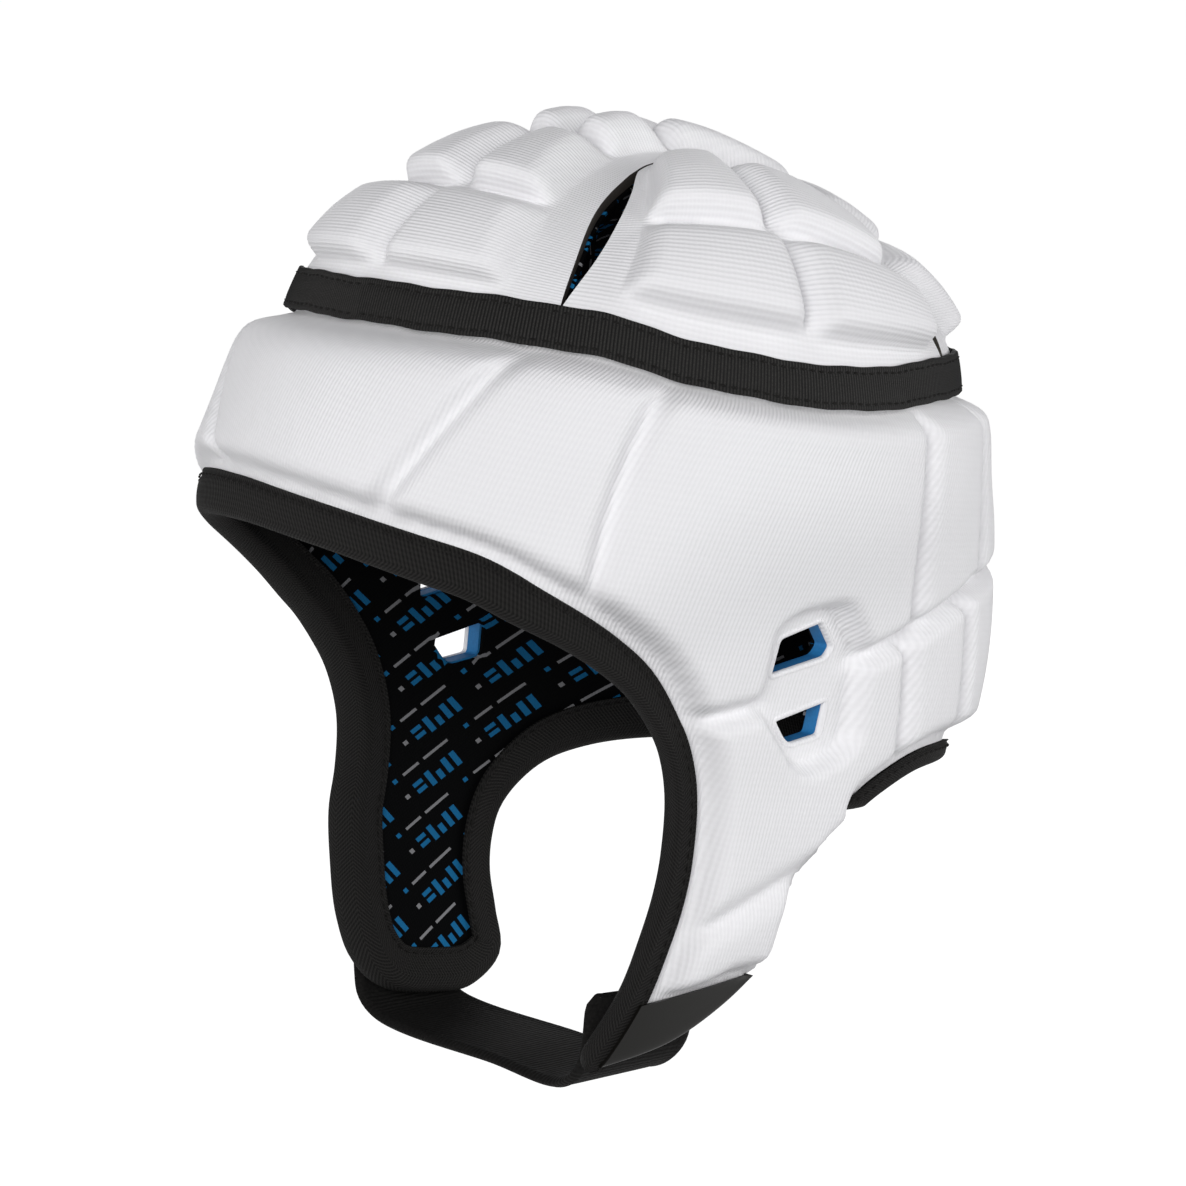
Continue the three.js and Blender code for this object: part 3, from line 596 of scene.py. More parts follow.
def joined(walls):
    """Several walls as one."""
    starts = np.cumsum([0] + [len(wall["points"]) for wall in walls[:-1]])
    both = {key: np.concatenate([wall[key] for wall in walls]) for key in ("points", "part", "uv")}
    return dict(both, faces=np.concatenate([wall["faces"] + start for wall, start in zip(walls, starts)]))


def turned_over(wall):
    """A wall with its faces turned over."""
    return dict(wall, faces=wall["faces"][:, ::-1], uv=wall["uv"][:, ::-1])


def flipped(wall):
    """A wall mirrored from the left side to the right."""
    return dict(turned_over(wall), points=wall["points"] * (-1, 1, 1))


def outward(wall):
    """The wall with its faces turned to the outside, by the sign of the volume that they enclose."""
    a, b, c, d = (wall["points"][wall["faces"][:, k]] for k in range(4))
    volume = (a * (np.cross(b, c) + np.cross(c, d))).sum()
    return wall if volume > 0 else turned_over(wall)


def add_piece(name, wall, materials, node=None, crease=70.0):
    """A mesh object from a wall's arrays, riding on the helmet and standing for a CAD node.

    Faces take the material of their part: outside, inside or cut edge.
    """
    wall = outward(wall)
    mesh = bpy.data.meshes.new(name)
    mesh.vertices.add(len(wall["points"]))
    mesh.vertices.foreach_set("co", (wall["points"] * MM).ravel())
    mesh.loops.add(wall["faces"].size)
    mesh.loops.foreach_set("vertex_index", wall["faces"].ravel())
    mesh.polygons.add(len(wall["faces"]))
    mesh.polygons.foreach_set("loop_start", np.arange(0, wall["faces"].size, 4))
    mesh.polygons.foreach_set("material_index", np.minimum(wall["part"], len(materials) - 1))
    mesh.uv_layers.new(name="weave").data.foreach_set("uv", wall["uv"].ravel())
    mesh.update(calc_edges=True)
    if mesh.validate():
        raise RuntimeError(f"{name} has faces that don't close")
    mesh.polygons.foreach_set("use_smooth", np.ones(len(mesh.polygons), bool))
    mesh.set_sharp_from_angle(angle=math.radians(crease))
    for material in materials:
        mesh.materials.append(material)
    piece = bpy.data.objects.new(name, mesh)
    bpy.context.scene.collection.objects.link(piece)
    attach(piece, "root")
    if node:
        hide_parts(node)
    return piece


class Finish:
    """A material while its nodes are being added."""

    def __init__(self, name):
        self.material = bpy.data.materials.new(name)
        self.material.use_nodes = True
        self.tree = self.material.node_tree
        self.tree.nodes.clear()
        self.shader = self.add("BsdfPrincipled")
        output = self.add("OutputMaterial")
        self.tree.links.new(self.shader.outputs[0], output.inputs[0])

    def add(self, kind, *values, **settings):
        """A node with its settings, and its inputs in order: constants, links or None."""
        made = self.tree.nodes.new("ShaderNode" + kind)
        for key, value in settings.items():
            setattr(made, key, value)
        for socket, value in zip(made.inputs, values):
            self.put(socket, value)
        return made

    def put(self, socket, value):
        """Links a node's output to a socket, or sets its constant."""
        if isinstance(value, bpy.types.NodeSocket):
            self.tree.links.new(value, socket)
        elif value is not None:
            socket.default_value = value

    def math(self, operation, *values):
        """A sum of numbers: the operation on its values."""
        return self.add("Math", *values, operation=operation).outputs[0]

    def weave_map(self, turn=0.0, shift=(0, 0, 0)):
        """The piece's weave map in millimetres, turned by an angle in degrees."""
        uv = self.add("UVMap", uv_map="weave").outputs[0]
        return self.add("Mapping", uv, shift, (0, 0, math.radians(turn))).outputs[0]

    def bands(self, place, pitch, direction="X", distortion=0.0):
        """Sine bands of a pitch in millimetres, from 0 to 1. The texture turns by 20 for each unit."""
        scale = 2 * math.pi / (20 * pitch)
        wave = self.add("TexWave", place, scale, distortion, 2.0, 1.0, bands_direction=direction)
        return wave.outputs["Fac"]

    def noise(self, place, scale, detail=3.0):
        """Cloudy noise from 0 to 1, with scale patches to each unit of the place."""
        return self.add("TexNoise", place, None, scale, detail).outputs["Fac"]

    def ramp(self, share, low, high):
        """A colour that goes from low to high with a share: each is a colour or a node's output."""
        mix = self.add("Mix", share, data_type="RGBA")
        # The node's colour inputs are its seventh and eighth, and its colour output is the third.
        for socket, colour in ((mix.inputs[6], low), (mix.inputs[7], high)):
            self.put(socket, colour if isinstance(colour, bpy.types.NodeSocket) else (*colour, 1))
        return mix.outputs[2]

    def bump_of(self, height, strength, distance):
        """A normal tilted by a height, with distance as its full height in millimetres."""
        node = self.add("Bump")
        self.put(node.inputs["Strength"], strength)
        self.put(node.inputs["Distance"], distance * MM)
        self.put(node.inputs["Height"], height)
        return node.outputs[0]

    def wear(self, colour, roughness, normal=None, **others):
        """Puts the values on the shader's own sockets."""
        self.put(self.shader.inputs["Base Color"], colour)
        self.put(self.shader.inputs["Roughness"], roughness)
        self.put(self.shader.inputs["Normal"], normal)
        for key, value in others.items():
            self.put(self.shader.inputs[key.replace("_", " ").title().replace("Ior", "IOR")], value)
        return self.material


def scaled(colour, factor):
    """A colour made darker or lighter by a factor, up to white."""
    return [min(factor * part, 1) for part in colour]


def white_knit(name, colour, pitch, turn):
    """Fine ribbed knit: ribs with crossing loops raise the surface and carry painted shade in their
    hollows, with a soft sheen.
    """
    cloth = Finish(name)
    place = cloth.weave_map(turn)
    ribs = cloth.bands(place, pitch, "X", distortion=0.6)
    loops = cloth.bands(place, pitch * 1.7, "Y", distortion=1.2)
    height = cloth.math("MULTIPLY_ADD", loops, 0.3, ribs)
    patches = cloth.noise(place, scale=0.05, detail=2.0)
    # Painted shade: the colour darkens by up to a tenth where the ribs and loops are low, plus random
    # cloudy patches of tone.
    shade = cloth.math("MULTIPLY_ADD", height, 0.5, cloth.math("MULTIPLY", patches, 0.4))
    tone = cloth.ramp(shade, scaled(colour, 0.9), colour)
    normal = cloth.bump_of(height, strength=0.55, distance=0.18)
    return cloth.wear(tone, 0.78, normal, sheen_weight=0.25, sheen_roughness=0.4)


def black_web(name, colour, pitch, chevron):
    """Woven black tape: slanted rows that turn back and forth across it as a herringbone, with painted
    highlights on the rows and painted shade between them.
    """
    tape = Finish(name)
    place = tape.weave_map()
    split = tape.add("SeparateXYZ", place)
    zigzag = tape.math("PINGPONG", split.outputs[1], chevron)
    slant = tape.math("ADD", split.outputs[0], zigzag)
    rows = tape.math("SINE", tape.math("MULTIPLY", slant, 2 * math.pi / pitch))
    threads = tape.math("SINE", tape.math("MULTIPLY", split.outputs[1], 2 * math.pi / (0.6 * pitch)))
    height = tape.math("MULTIPLY_ADD", threads, 0.35, rows)
    # Painted highlight and shade: the colour brightens on the raised rows and threads and darkens between
    # them.
    shade = tape.math("MULTIPLY_ADD", height, 0.3, 0.5)
    tone = tape.ramp(shade, scaled(colour, 0.15), scaled(colour, 2.2))
    normal = tape.bump_of(height, strength=0.7, distance=0.15)
    return tape.wear(tone, 0.85, normal, specular_ior_level=0.12)


def grosgrain(name, colour):
    """Ribbed black ribbon: the ribs are in its mesh, with fine threads across them, and stripes of painted
    highlight and shade at the ribs' pitch.
    """
    ribbon = Finish(name)
    place = ribbon.weave_map()
    threads = ribbon.bands(place, 0.4, "Y", distortion=0.5)
    ribs = ribbon.bands(place, TAPE["rib"], "X")
    # Painted highlight and shade: the colour goes bright and dark in stripes at the ribs' pitch, stronger
    # in random patches.
    shade = ribbon.math("MULTIPLY", ribs, ribbon.noise(place, scale=2.2))
    tone = ribbon.ramp(shade, scaled(colour, 0.05), scaled(colour, 4.6))
    normal = ribbon.bump_of(threads, strength=0.5, distance=0.08)
    return ribbon.wear(tone, 0.75, normal, specular_ior_level=0.2)


# The lining's print: bars and dots in a cell of its own, as centres and half sizes.
PRINT_CELL = (27.0, 14.0)
PRINT_SLANT = 0.35
PRINT_STAGGER = 0.37
PRINT_TURN = 24.0
PRINT = table(
    "x y half_width half_height grey",
    (3.0, 4.2, 0.9, 2.6, 0),
    (6.2, 4.2, 0.9, 2.6, 0),
    (9.4, 3.2, 0.9, 1.6, 0),
    (12.6, 4.2, 0.9, 2.6, 0),
    (16.6, 3.2, 1.7, 0.7, 0),
    (16.6, 5.6, 1.7, 0.7, 0),
    (6.0, 10.6, 4.6, 0.45, 1),
    (15.5, 10.6, 3.0, 0.45, 1),
    (21.6, 4.2, 0.7, 0.7, 1),
    (21.6, 10.6, 0.7, 0.7, 0),
)


def printed_knit(name, colours):
    """Black knit with a print of small slanted bars, dashes and dots, repeated in staggered rows."""
    cloth = Finish(name)
    place = cloth.weave_map(PRINT_TURN)
    split = cloth.add("SeparateXYZ", place)
    row = cloth.math("FLOOR", cloth.math("DIVIDE", split.outputs[1], PRINT_CELL[1]))
    slanted = cloth.math("MULTIPLY_ADD", split.outputs[1], -PRINT_SLANT, split.outputs[0])
    stagger = cloth.math("MULTIPLY_ADD", row, PRINT_STAGGER * PRINT_CELL[0], slanted)
    across = cloth.math("FLOORED_MODULO", stagger, PRINT_CELL[0])
    up = cloth.math("FLOORED_MODULO", split.outputs[1], PRINT_CELL[1])
    masks = [None, None]
    for x, y, half_width, half_height, grey in zip(*PRINT.values()):
        beside_bar = cloth.math("COMPARE", across, x, half_width)
        bar = cloth.math("MULTIPLY", beside_bar, cloth.math("COMPARE", up, y, half_height))
        kind = int(grey)
        masks[kind] = bar if masks[kind] is None else cloth.math("MAXIMUM", masks[kind], bar)
    tone = cloth.ramp(masks[0], colours["lining"], colours["print_blue"])
    tone = cloth.ramp(masks[1], tone, colours["print_grey"])
    ribs, rows = cloth.bands(place, 0.8, "X", distortion=0.5), cloth.bands(place, 0.9, "Y", distortion=0.5)
    normal = cloth.bump_of(cloth.math("ADD", ribs, rows), strength=0.4, distance=0.1)
    return cloth.wear(tone, 0.85, normal, specular_ior_level=0.04)


def cut_foam(name, colour, depth):
    """A cut face of foam: open grain in colour and in height."""
    foam = Finish(name)
    place = foam.add("TexCoord").outputs["Object"]
    grain = foam.noise(place, scale=1400.0)
    tone = foam.ramp(grain, scaled(colour, 0.75), scaled(colour, 1.15))
    return foam.wear(tone, 0.8, foam.bump_of(grain, strength=0.4, distance=depth))


def pile(name, colour):
    """Black loop pile of a fastening strap: cloudy loops over rows that wander."""
    strap = Finish(name)
    place = strap.weave_map()
    loops = strap.noise(place, scale=1.1, detail=2.0)
    ribs = strap.bands(place, 1.6, "X", distortion=2.5)
    tone = strap.ramp(loops, scaled(colour, 0.1), scaled(colour, 1.5))
    normal = strap.bump_of(strap.math("ADD", loops, ribs), strength=0.7, distance=0.25)
    return strap.wear(tone, 0.9, normal, specular_ior_level=0.1)


def satin_film(name, colour):
    """Smooth black film with a faint grain and a satin gloss."""
    film = Finish(name)
    place = film.weave_map()
    grain = film.noise(place, scale=1.4)
    tone = film.ramp(grain, colour, scaled(colour, 1.5))
    normal = film.bump_of(grain, strength=0.12, distance=0.05)
    return film.wear(tone, 0.36, normal, specular_ior_level=0.22)


def even_rows(first, last, spacing):
    """Rows of the lower shell's sections in even steps down its side."""
    dense = np.linspace(first, last, DENSE_ROWS)
    at = run_along(shell_point(90.0, dense, 0))
    return np.interp(np.linspace(0, at[-1], int(at[-1] / spacing)), at, dense)


def shell_sheet(columns, spacing, inset, depth):
    """The lower shell's grid, cut to its edges and vents.

    Gives azimuths, rows and heights of the grid's points, the faces that lie inside the edge by an inset
    and outside the vents' holes, and the shifts that move their outermost points onto the edge and holes.
    """
    azimuth, row = np.meshgrid(np.linspace(-180, 180, columns, endpoint=False),
                               even_rows(TOP_ROW, LOW_ROW, spacing))
    azimuth, row = azimuth.ravel(), row.ravel()
    faces = grid_faces(len(row) // columns, columns, around=True)
    height = shell_point(azimuth, row, 0)[:, 2]
    line, step = stations(WHOLE_EDGE, EDGE_SPACING)
    edge = line + step * (inset * (1 - turned_under(line)))[:, None]
    past, above = 181, 100
    outline = np.vstack([edge, [(-past, edge[-1, 1]), (-past, above), (past, above), (past, edge[0, 1])]])
    plane = np.stack([azimuth, height], -1)
    kept = inside(plane, outline)[faces].all(1)
    points = shell_point(azimuth, row, depth)
    moved = points.copy()
    border = np.intersect1d(faces[kept], faces[~kept])
    onto = nearest_on(plane[border] * (DEGREE, 1), outline * (DEGREE, 1)) / (DEGREE, 1)
    moved[border] = on_shell(*onto.T, depth)
    for hole in HOLE_OUTLINES:
        middle = points[faces].mean(1)
        gone = inside(middle[:, 1:], hole) & (abs(middle[:, 0]) > VENT_SIDE)
        edge_points = np.intersect1d(faces[gone], faces[~gone])
        y, z = nearest_on(points[edge_points, 1:], hole).T
        moved[edge_points] = side_point(y, z, depth, 1)
        moved[edge_points, 0] *= np.sign(points[edge_points, 0])
        kept &= ~gone
    shift = moved - points
    return azimuth, row, height, faces[kept], shift


def pad_share(azimuth, row, height):
    """Height of the pads over their flange, from 0 to 1: the product of the rises from the seam, the
    bound edge, the flaps' ends, the vents and the grooves."""
    points = shell_point(azimuth, row, PAD)
    top = shell_point(azimuth, np.full_like(row, RIM_ROW), PAD)
    below_seam = np.where(row > RIM_ROW, np.linalg.norm(points - top, axis=1), 0)
    edge = stations(WHOLE_EDGE, MARGIN_SPACING)[0]
    margin = (outer_leg(edge) + MARGIN["beyond"]) * (1 - turned_under(edge))
    from_edge = distance_to(points, on_shell(edge[:, 0], edge[:, 1], PAD), margin)
    end = np.interp(abs(azimuth), PAD_END["azimuth"], PAD_END["height"], -1e3, -1e3)
    frame_line = rounded(VENT_FRAME, FRAME_CORNER)
    from_vent = np.linalg.norm(points[:, 1:] - nearest_on(points[:, 1:], frame_line), axis=1)
    from_vent[inside(points[:, 1:], frame_line)] = 0
    from_vent[abs(points[:, 0]) < VENT_SIDE] = np.inf
    clear = np.minimum.reduce([below_seam, np.maximum(from_edge, 0), from_vent])
    share = rise(below_seam, SEAM_RUN) * rise(from_edge, MARGIN["run"]) * rise(height - end, PAD_END_RUN)
    share = share * (1 - VENT_FLOOR / PAD * (1 - rise(from_vent, VENT_RUN)))
    for start_a, start_h, end_a, end_h, depth, run in zip(*GROOVES.values()):
        for side in (1, -1):
            ends = [(side * start_a, start_h), (side * end_a, end_h)]
            line = smooth_line(ends, GROOVE_SPACING, (DEGREE, 1))
            distance = distance_to(points, on_shell(line[:, 0], line[:, 1], PAD)) - GROOVE_FLOOR
            share = share * (1 - depth / PAD * (1 - rise(distance, run)))
            clear = np.minimum(clear, distance)
    return share, rise(clear, PUFF["run"])


def near_holes(azimuth, row):
    """Whether points of the lower shell lie close round a vent's hole, where only its cloth is left."""
    points = shell_point(azimuth, row, VENT_FLOOR)
    away = [np.linalg.norm(points[:, 1:] - nearest_on(points[:, 1:], hole), axis=1)
            for hole in HOLE_OUTLINES]
    return (np.min(away, axis=0) < VENT_SKIN_REACH) & (abs(points[:, 0]) > VENT_SIDE)


def shell_weave(azimuth, height):
    """The lower shell's weave map: along it by azimuth and up it by height."""
    return np.stack([azimuth * DEGREE, height], -1)


def lip_ring(hole, side):
    """A soft lip round a vent's hole: a bead on the frame that turns into the hole."""
    lines = [grown(hole, out) for out in LIP["out"]]
    outer = np.stack([side_point(*line.T, depth, side) for line, depth in zip(lines, LIP["depth"])])
    inner = np.stack([side_point(*grown(line, LIP_SLOPE).T, depth, side)
                      for line, depth in zip(lines, LIP["depth"] + LIP["under"])])
    return sheet(outer, inner, np.concatenate(lines), around=True)


def foam_ring(hole, side):
    """The foam layer round a vent's hole, between the shell's cloth and the lining."""
    depths = np.linspace(*FOAM, FOAM_RING["layers"])
    inner, outer = (np.stack([side_point(*grown(hole, FOAM_RING[word]).T, depth, side) for depth in depths])
                    for word in ("inside", "outside"))
    return sheet(outer, inner, np.tile(hole, (len(depths), 1)), around=True)


def block_share(distances):
    """Height of moulded blocks from the distances to the grooves round them: the product of the
    rises along each way, and a slow swell to their middles."""
    share, swell = 1.0, 1.0
    for distance in distances:
        share = share * rise(distance - BLOCK["floor"], BLOCK["run"])
        swell = swell * rise(distance, BLOCK["puff_run"])
    return BLOCK["height"] * share + BLOCK["puff"] * (swell - 0.5) * share


def ways_to(values, grooves, metre):
    """Distance in millimetres from each value to the nearest groove, and 0 outside the outermost."""
    nearest = np.min([abs(values - groove) for groove in grooves], axis=0)
    within = (values > grooves[0]) & (values < grooves[-1])
    return np.where(within, nearest, 0) * metre


def lengths(points, axis, values):
    """Millimetres for each unit of a grid's parameter along one of its axes."""
    return np.linalg.norm(np.gradient(points, axis=axis), axis=-1) / np.gradient(values, axis=axis)


def crown_wall(directions, first, second, grooves, lifts, uv, padded=True):
    """A crown panel: moulded blocks over its grooves, or a plain sheet, between two lifts."""
    base = crown_point(directions, 0.0)
    lift = lifts[0]
    if padded:
        ways = [ways_to(values, lines, lengths(base, axis, values))
                for axis, (values, lines) in enumerate(zip((first, second), grooves))]
        lift = lifts[0] + block_share(ways)
    return sheet(crown_point(directions, lift), crown_point(directions, lifts[1]), uv(base))


def centre_wall(spacing, lifts, seam, padded=True):
    """The centre panel's wall: rows along the head, columns by share of its half span."""
    rows, columns = int(PANEL["length"] / spacing), int(PANEL["width"] / spacing) // 2 * 2 + 1
    along, share = np.meshgrid(np.linspace(PANEL["start"], PANEL["end"], rows),
                               np.linspace(-1, 1, columns), indexing="ij")

    def weave(base):
        """Across the head by width, and along it by the length of its middle line."""
        return np.stack([base[..., 0], run_along(base[:, columns // 2])[:, None] + 0 * share], -1)

    directions = centre_directions(along, share, seam)
    return crown_wall(directions, along, share, (PANEL_GROOVES, PANEL_COLUMNS), lifts, weave, padded)


def side_wall(spacing, lifts, seam, padded=True):
    """The left side panel's wall: rows from its hem to its top, columns from its front to its back."""
    rows, columns = int(SIDE_PANEL["height"] / spacing), int(SIDE_PANEL["length"] / spacing)
    level, share = np.meshgrid(np.linspace(0, 1, rows), np.linspace(0, 1, columns), indexing="ij")

    def weave(base):
        """Up the panel by level, and along it by share."""
        return np.stack([level * SIDE_WEAVE[0], share * SIDE_WEAVE[1]], -1)

    directions = side_directions(share, level, seam)
    return crown_wall(directions, level, share, (SIDE_LEVELS, SIDE_COLUMNS), lifts, weave, padded)


def carried(path, profile, around_fold):
    """A band along a path on the lower shell: its profile's distances and depths, and the same
    line moved in by the band's thickness."""
    distance, depth, inner_distance, inner_depth = profile
    outer = beside(path, distance, depth)
    inner = beside(path, inner_distance, inner_depth)
    run, across = run_along(outer[:, around_fold]), run_along(outer[len(outer) // 2])
    return sheet(outer, inner, np.stack(np.broadcast_arrays(run[:, None], across[None]), -1))


def binding_profile(path):
    """A folded tape round the edge: a leg outside, half a turn about the edge, and a leg inside."""
    leg = BINDING["leg"]
    middle = (BINDING["outside"] + BINDING["inside"]) / 2
    radius = (BINDING["inside"] - BINDING["outside"]) / 2
    turn = np.linspace(0, np.pi, BINDING["turn_points"])
    legs = np.linspace(leg, 1.0, BINDING["leg_points"])
    sink = BINDING["sink"] * np.exp(-((legs - leg + STITCH["inset"]) / BINDING["sink_run"]) ** 2)
    along = np.arange(len(path[0])) * BINDING["spacing"]
    round_end = np.sqrt(1 - (1 - np.clip(along / BINDING["tip"], 0, 1)) ** 2)[:, None]
    tip = round_end * (1 - BINDING["tip_width"]) + BINDING["tip_width"]
    outside_legs = legs * outer_leg(path[0])[:, None] / leg
    under = UNDER * turned_under(path[0])[:, None]

    def line(inset):
        """The fold's line at an inset from its outside: distances from the edge, and depths."""
        fold = -(radius - inset) * np.sin(turn) * BINDING["fold"] + 0 * tip
        drop = middle - (radius - inset) * np.cos(turn)
        outside = middle - radius + inset + sink * (inset == 0)
        inside_leg = middle + radius - inset - sink * (inset == 0)
        distance = np.hstack([outside_legs, fold, legs[::-1] + 0 * tip]) * tip + under
        return distance, np.concatenate([outside, drop, inside_leg[::-1]]) + 0 * tip

    return *line(0.0), *line(BINDING["thickness"])


def stitch_line(places, normals):
    """Stitches along a line of places: short threads that arch from hole to hole, each a tube whose
    radius falls to its ends."""
    run = run_along(places)
    starts = np.arange(STITCH["first"], run[-1] - STITCH["length"], STITCH["pitch"])
    t, turn = np.linspace(0, 1, STITCH_LINES), np.linspace(0, 2 * np.pi, STITCH_SIDES, endpoint=False)
    at = starts[:, None] + t * STITCH["length"]
    centre = np.stack([np.interp(at, run, column) for column in places.T], -1)
    up = np.stack([np.interp(at, run, column) for column in normals.T], -1)
    along = np.gradient(centre, axis=1)
    along /= np.linalg.norm(along, axis=-1, keepdims=True)
    wide = np.cross(along, up)
    radius = STITCH["radius"] * np.sqrt(np.clip(1 - (2 * t - 1) ** 4, 0.02, 1))
    arch = STITCH["radius"] * STITCH["arch"] * np.sin(np.pi * t) - STITCH["sunk"]
    centre = centre + up * arch[None, :, None]
    ring = np.cos(turn)[:, None] * wide[:, :, None] + np.sin(turn)[:, None] * up[:, :, None]
    points = centre[:, :, None] + ring * radius[None, :, None, None]
    tube = grid_faces(len(t), len(turn), around=True)
    cap = np.array([(0, 1, 2, 3), (0, 3, 4, 5)])
    one = np.vstack([tube, cap, cap[:, ::-1] + (len(t) - 1) * len(turn)])
    faces = (one[None] + (np.arange(len(starts)) * len(t) * len(turn))[:, None, None]).reshape(-1, 4)
    points = points.reshape(-1, 3)
    return dict(points=points, faces=faces, part=np.zeros(len(faces), int), uv=points[faces][..., :2])


def tape_wall():
    """The ribbon over the seam: an ellipse with the seam's dip, carried with a flat profile that
    leans in at its top. Its outside is ribbed along it, sunk along two lines of stitches and a
    little wavy at its edges."""
    around = 2 * math.pi * math.sqrt((SEAM["half_width"] ** 2 + SEAM["half_length"] ** 2) / 2)
    ribs = int(around / TAPE["rib"])
    turn = np.linspace(0, 2 * np.pi, ribs * TAPE["columns_per_rib"], endpoint=False)[None]
    half = TAPE["width"] / 2
    up = half * TAPE_ROWS[:, None]
    wave = sum(height * np.sin(count * turn + start) for height, count, start in TAPE_WAVES)
    edge = abs(up) / half
    under = TAPE["clearance"] - TAPE["lean"] * up + 0 * turn
    sewn = np.exp(-((edge - TAPE["sewn"]) / TAPE["sewn_run"]) ** 2)
    out = under + TAPE["thickness"] - TAPE["sewn_sink"] * sewn
    out = out + np.where(edge < 0.97, TAPE["rib_height"], 0) * np.cos(ribs * turn)
    curl = TAPE["curl"] * np.clip((edge - 0.9) / 0.1, 0, 1) ** 2
    out = out - curl + TAPE["swell"] * np.sin(6 * turn + up / 4)

    def ring(out):
        """The seam's ellipse grown by out, with the seam's dip and the tape's waves."""
        x, y = (SEAM["half_width"] + out) * np.sin(turn), -(SEAM["half_length"] + out) * np.cos(turn)
        return seam_point(x, y, up + wave + dip(np.degrees(turn)) + 0 * out)

    outer, inner = ring(out), ring(under)
    uv = np.stack(np.broadcast_arrays(turn * around / (2 * np.pi), up), -1)
    return sheet(outer, inner, uv, around=True, period=around), outer


def strap_wall():
    """The strap: a flat band with rolled edges along its path, its width lying front to back."""
    line = smooth_line(np.stack(list(STRAP_PATH.values()), -1), STRAP["spacing"])
    place, lean = line[:, :3], line[:, 3]
    along = np.gradient(place, axis=0)
    along /= np.linalg.norm(along, axis=1, keepdims=True)
    wide = np.stack([lean, np.ones_like(lean), np.zeros_like(lean)], -1)
    wide -= along * (wide * along).sum(1, keepdims=True)
    wide /= np.linalg.norm(wide, axis=1, keepdims=True)
    thick = np.cross(along, wide)
    share = np.sin(np.linspace(-np.pi / 2, np.pi / 2, STRAP["columns"]))
    half = STRAP["thickness"] / 2 * np.sqrt(np.clip(1 - abs(share) ** STRAP["roll_power"], 0.01, 1))
    half = half + STRAP["rim"] * np.exp(-((abs(share) - STRAP["rim_at"]) / STRAP["rim_run"]) ** 2)
    run = np.arange(len(place)) * STRAP["spacing"]
    ease = np.clip(np.minimum(run, run[-1] - run) / STRAP["end"], 0, 1)
    round_end = np.sqrt(1 - (1 - ease) ** 2)[:, None]
    narrow = STRAP["end_width"] + (1 - STRAP["end_width"]) * round_end
    across = place[:, None] + wide[:, None] * (share * narrow * STRAP["width"] / 2)[..., None]
    swell = thick[:, None] * half[:, None]
    uv = np.stack(np.broadcast_arrays(run[:, None], share[None] * STRAP["width"] / 2), -1)
    return sheet(across + swell, across - swell, uv)


def tab_wall():
    """The satin tab on the left flap's end: from its top line to the flap's lower edge and round it."""
    low = smooth_line(TAB_LOW, TAB["spacing"])
    top = TAB_TOP[0] + (TAB_TOP[1] - TAB_TOP[0]) * np.linspace(0, 1, len(low))[:, None]
    rows = np.linspace(0, len(TAB_PROFILE["share"]) - 1, TAB["rows"])
    share, depth = between(TAB_PROFILE["share"], rows), between(TAB_PROFILE["depth"], rows)

    def place(share):
        """Places (y, z) from the top line to the low one, and past it."""
        return top[:, None] + (low - top)[:, None] * share[None, :, None]

    def surface(share, depth):
        """Those places on the flap, at a depth."""
        y, z = np.moveaxis(place(share), -1, 0)
        return side_point(y, z, depth[None] + 0 * y, 1)

    middle = (depth.min() + depth.max()) / 2
    inner_depth = depth + np.clip(middle - depth, -TAB["thickness"], TAB["thickness"])
    inner_share = share - TAB["shy"] * np.clip(share, 0, 1)
    return sheet(surface(share, depth), surface(inner_share, inner_depth), place(share))


def colour_property(name, description, default):
    """A colour that a user may change."""
    return bpy.props.FloatVectorProperty(name=name, description=description, subtype="COLOR",
                                         default=default)


def length_property(name, description, default):
    """A length in metres that a user may change."""
    return bpy.props.FloatProperty(name=name, description=description, unit="LENGTH", default=default)


def angle_property(name, description, degrees):
    """An angle that a user may change."""
    return bpy.props.FloatProperty(name=name, description=description, subtype="ANGLE",
                                   default=math.radians(degrees))


class HelmetPads(bpy.types.PropertyGroup):
    """Sizes and colours of the padded panels."""
    knit_pitch: bpy.props.FloatProperty(
        name="Knit pitch", description="Millimetres between the knit's ribs", default=1.0, min=0.2)
    white: colour_property("White", "Colour of the knit", (0.86, 0.855, 0.87))
    cut_edge: colour_property("Cut edge", "Colour of the cut edge in the slits", (0.045, 0.037, 0.03))
    foam: colour_property("Vent foam", "Colour of the foam in the ear vents", (0.006, 0.16, 0.40))


class HelmetTrim(bpy.types.PropertyGroup):
    """Colours of the tape, binding, lining, strap and tab."""
    black: colour_property("Tape", "Colour of the tape, binding and strap", (0.010, 0.0095, 0.009))
    lining: colour_property("Lining", "Ground colour of the lining", (0.0012, 0.0013, 0.0015))
    print_blue: colour_property("Print blue", "Blue of the lining's print", (0.01, 0.13, 0.30))
    print_grey: colour_property("Print grey", "Grey of the lining's print", (0.22, 0.22, 0.23))
    film: colour_property("Tab", "Colour of the satin tab", (0.004, 0.0037, 0.003))


class HelmetStage(bpy.types.PropertyGroup):
    """Camera and floor."""
    azimuth: angle_property("Azimuth", "Camera angle round the helmet from its front", 46)
    elevation: angle_property("Elevation", "Camera angle above the horizon", 12)
    distance: length_property("Distance", "From camera to aim", 1.1)
    view_width: length_property("View width", "Width of the view at the aim", 0.3041)
    aim_height: length_property("Aim height", "Height of the point that the camera looks at", -0.111)
    floor_drop: length_property("Floor drop", "Floor below the helmet's lowest point", 0.25)


class PieceOperator:
    """What every operator of the helmet shares."""
    bl_options = {"REGISTER", "UNDO"}


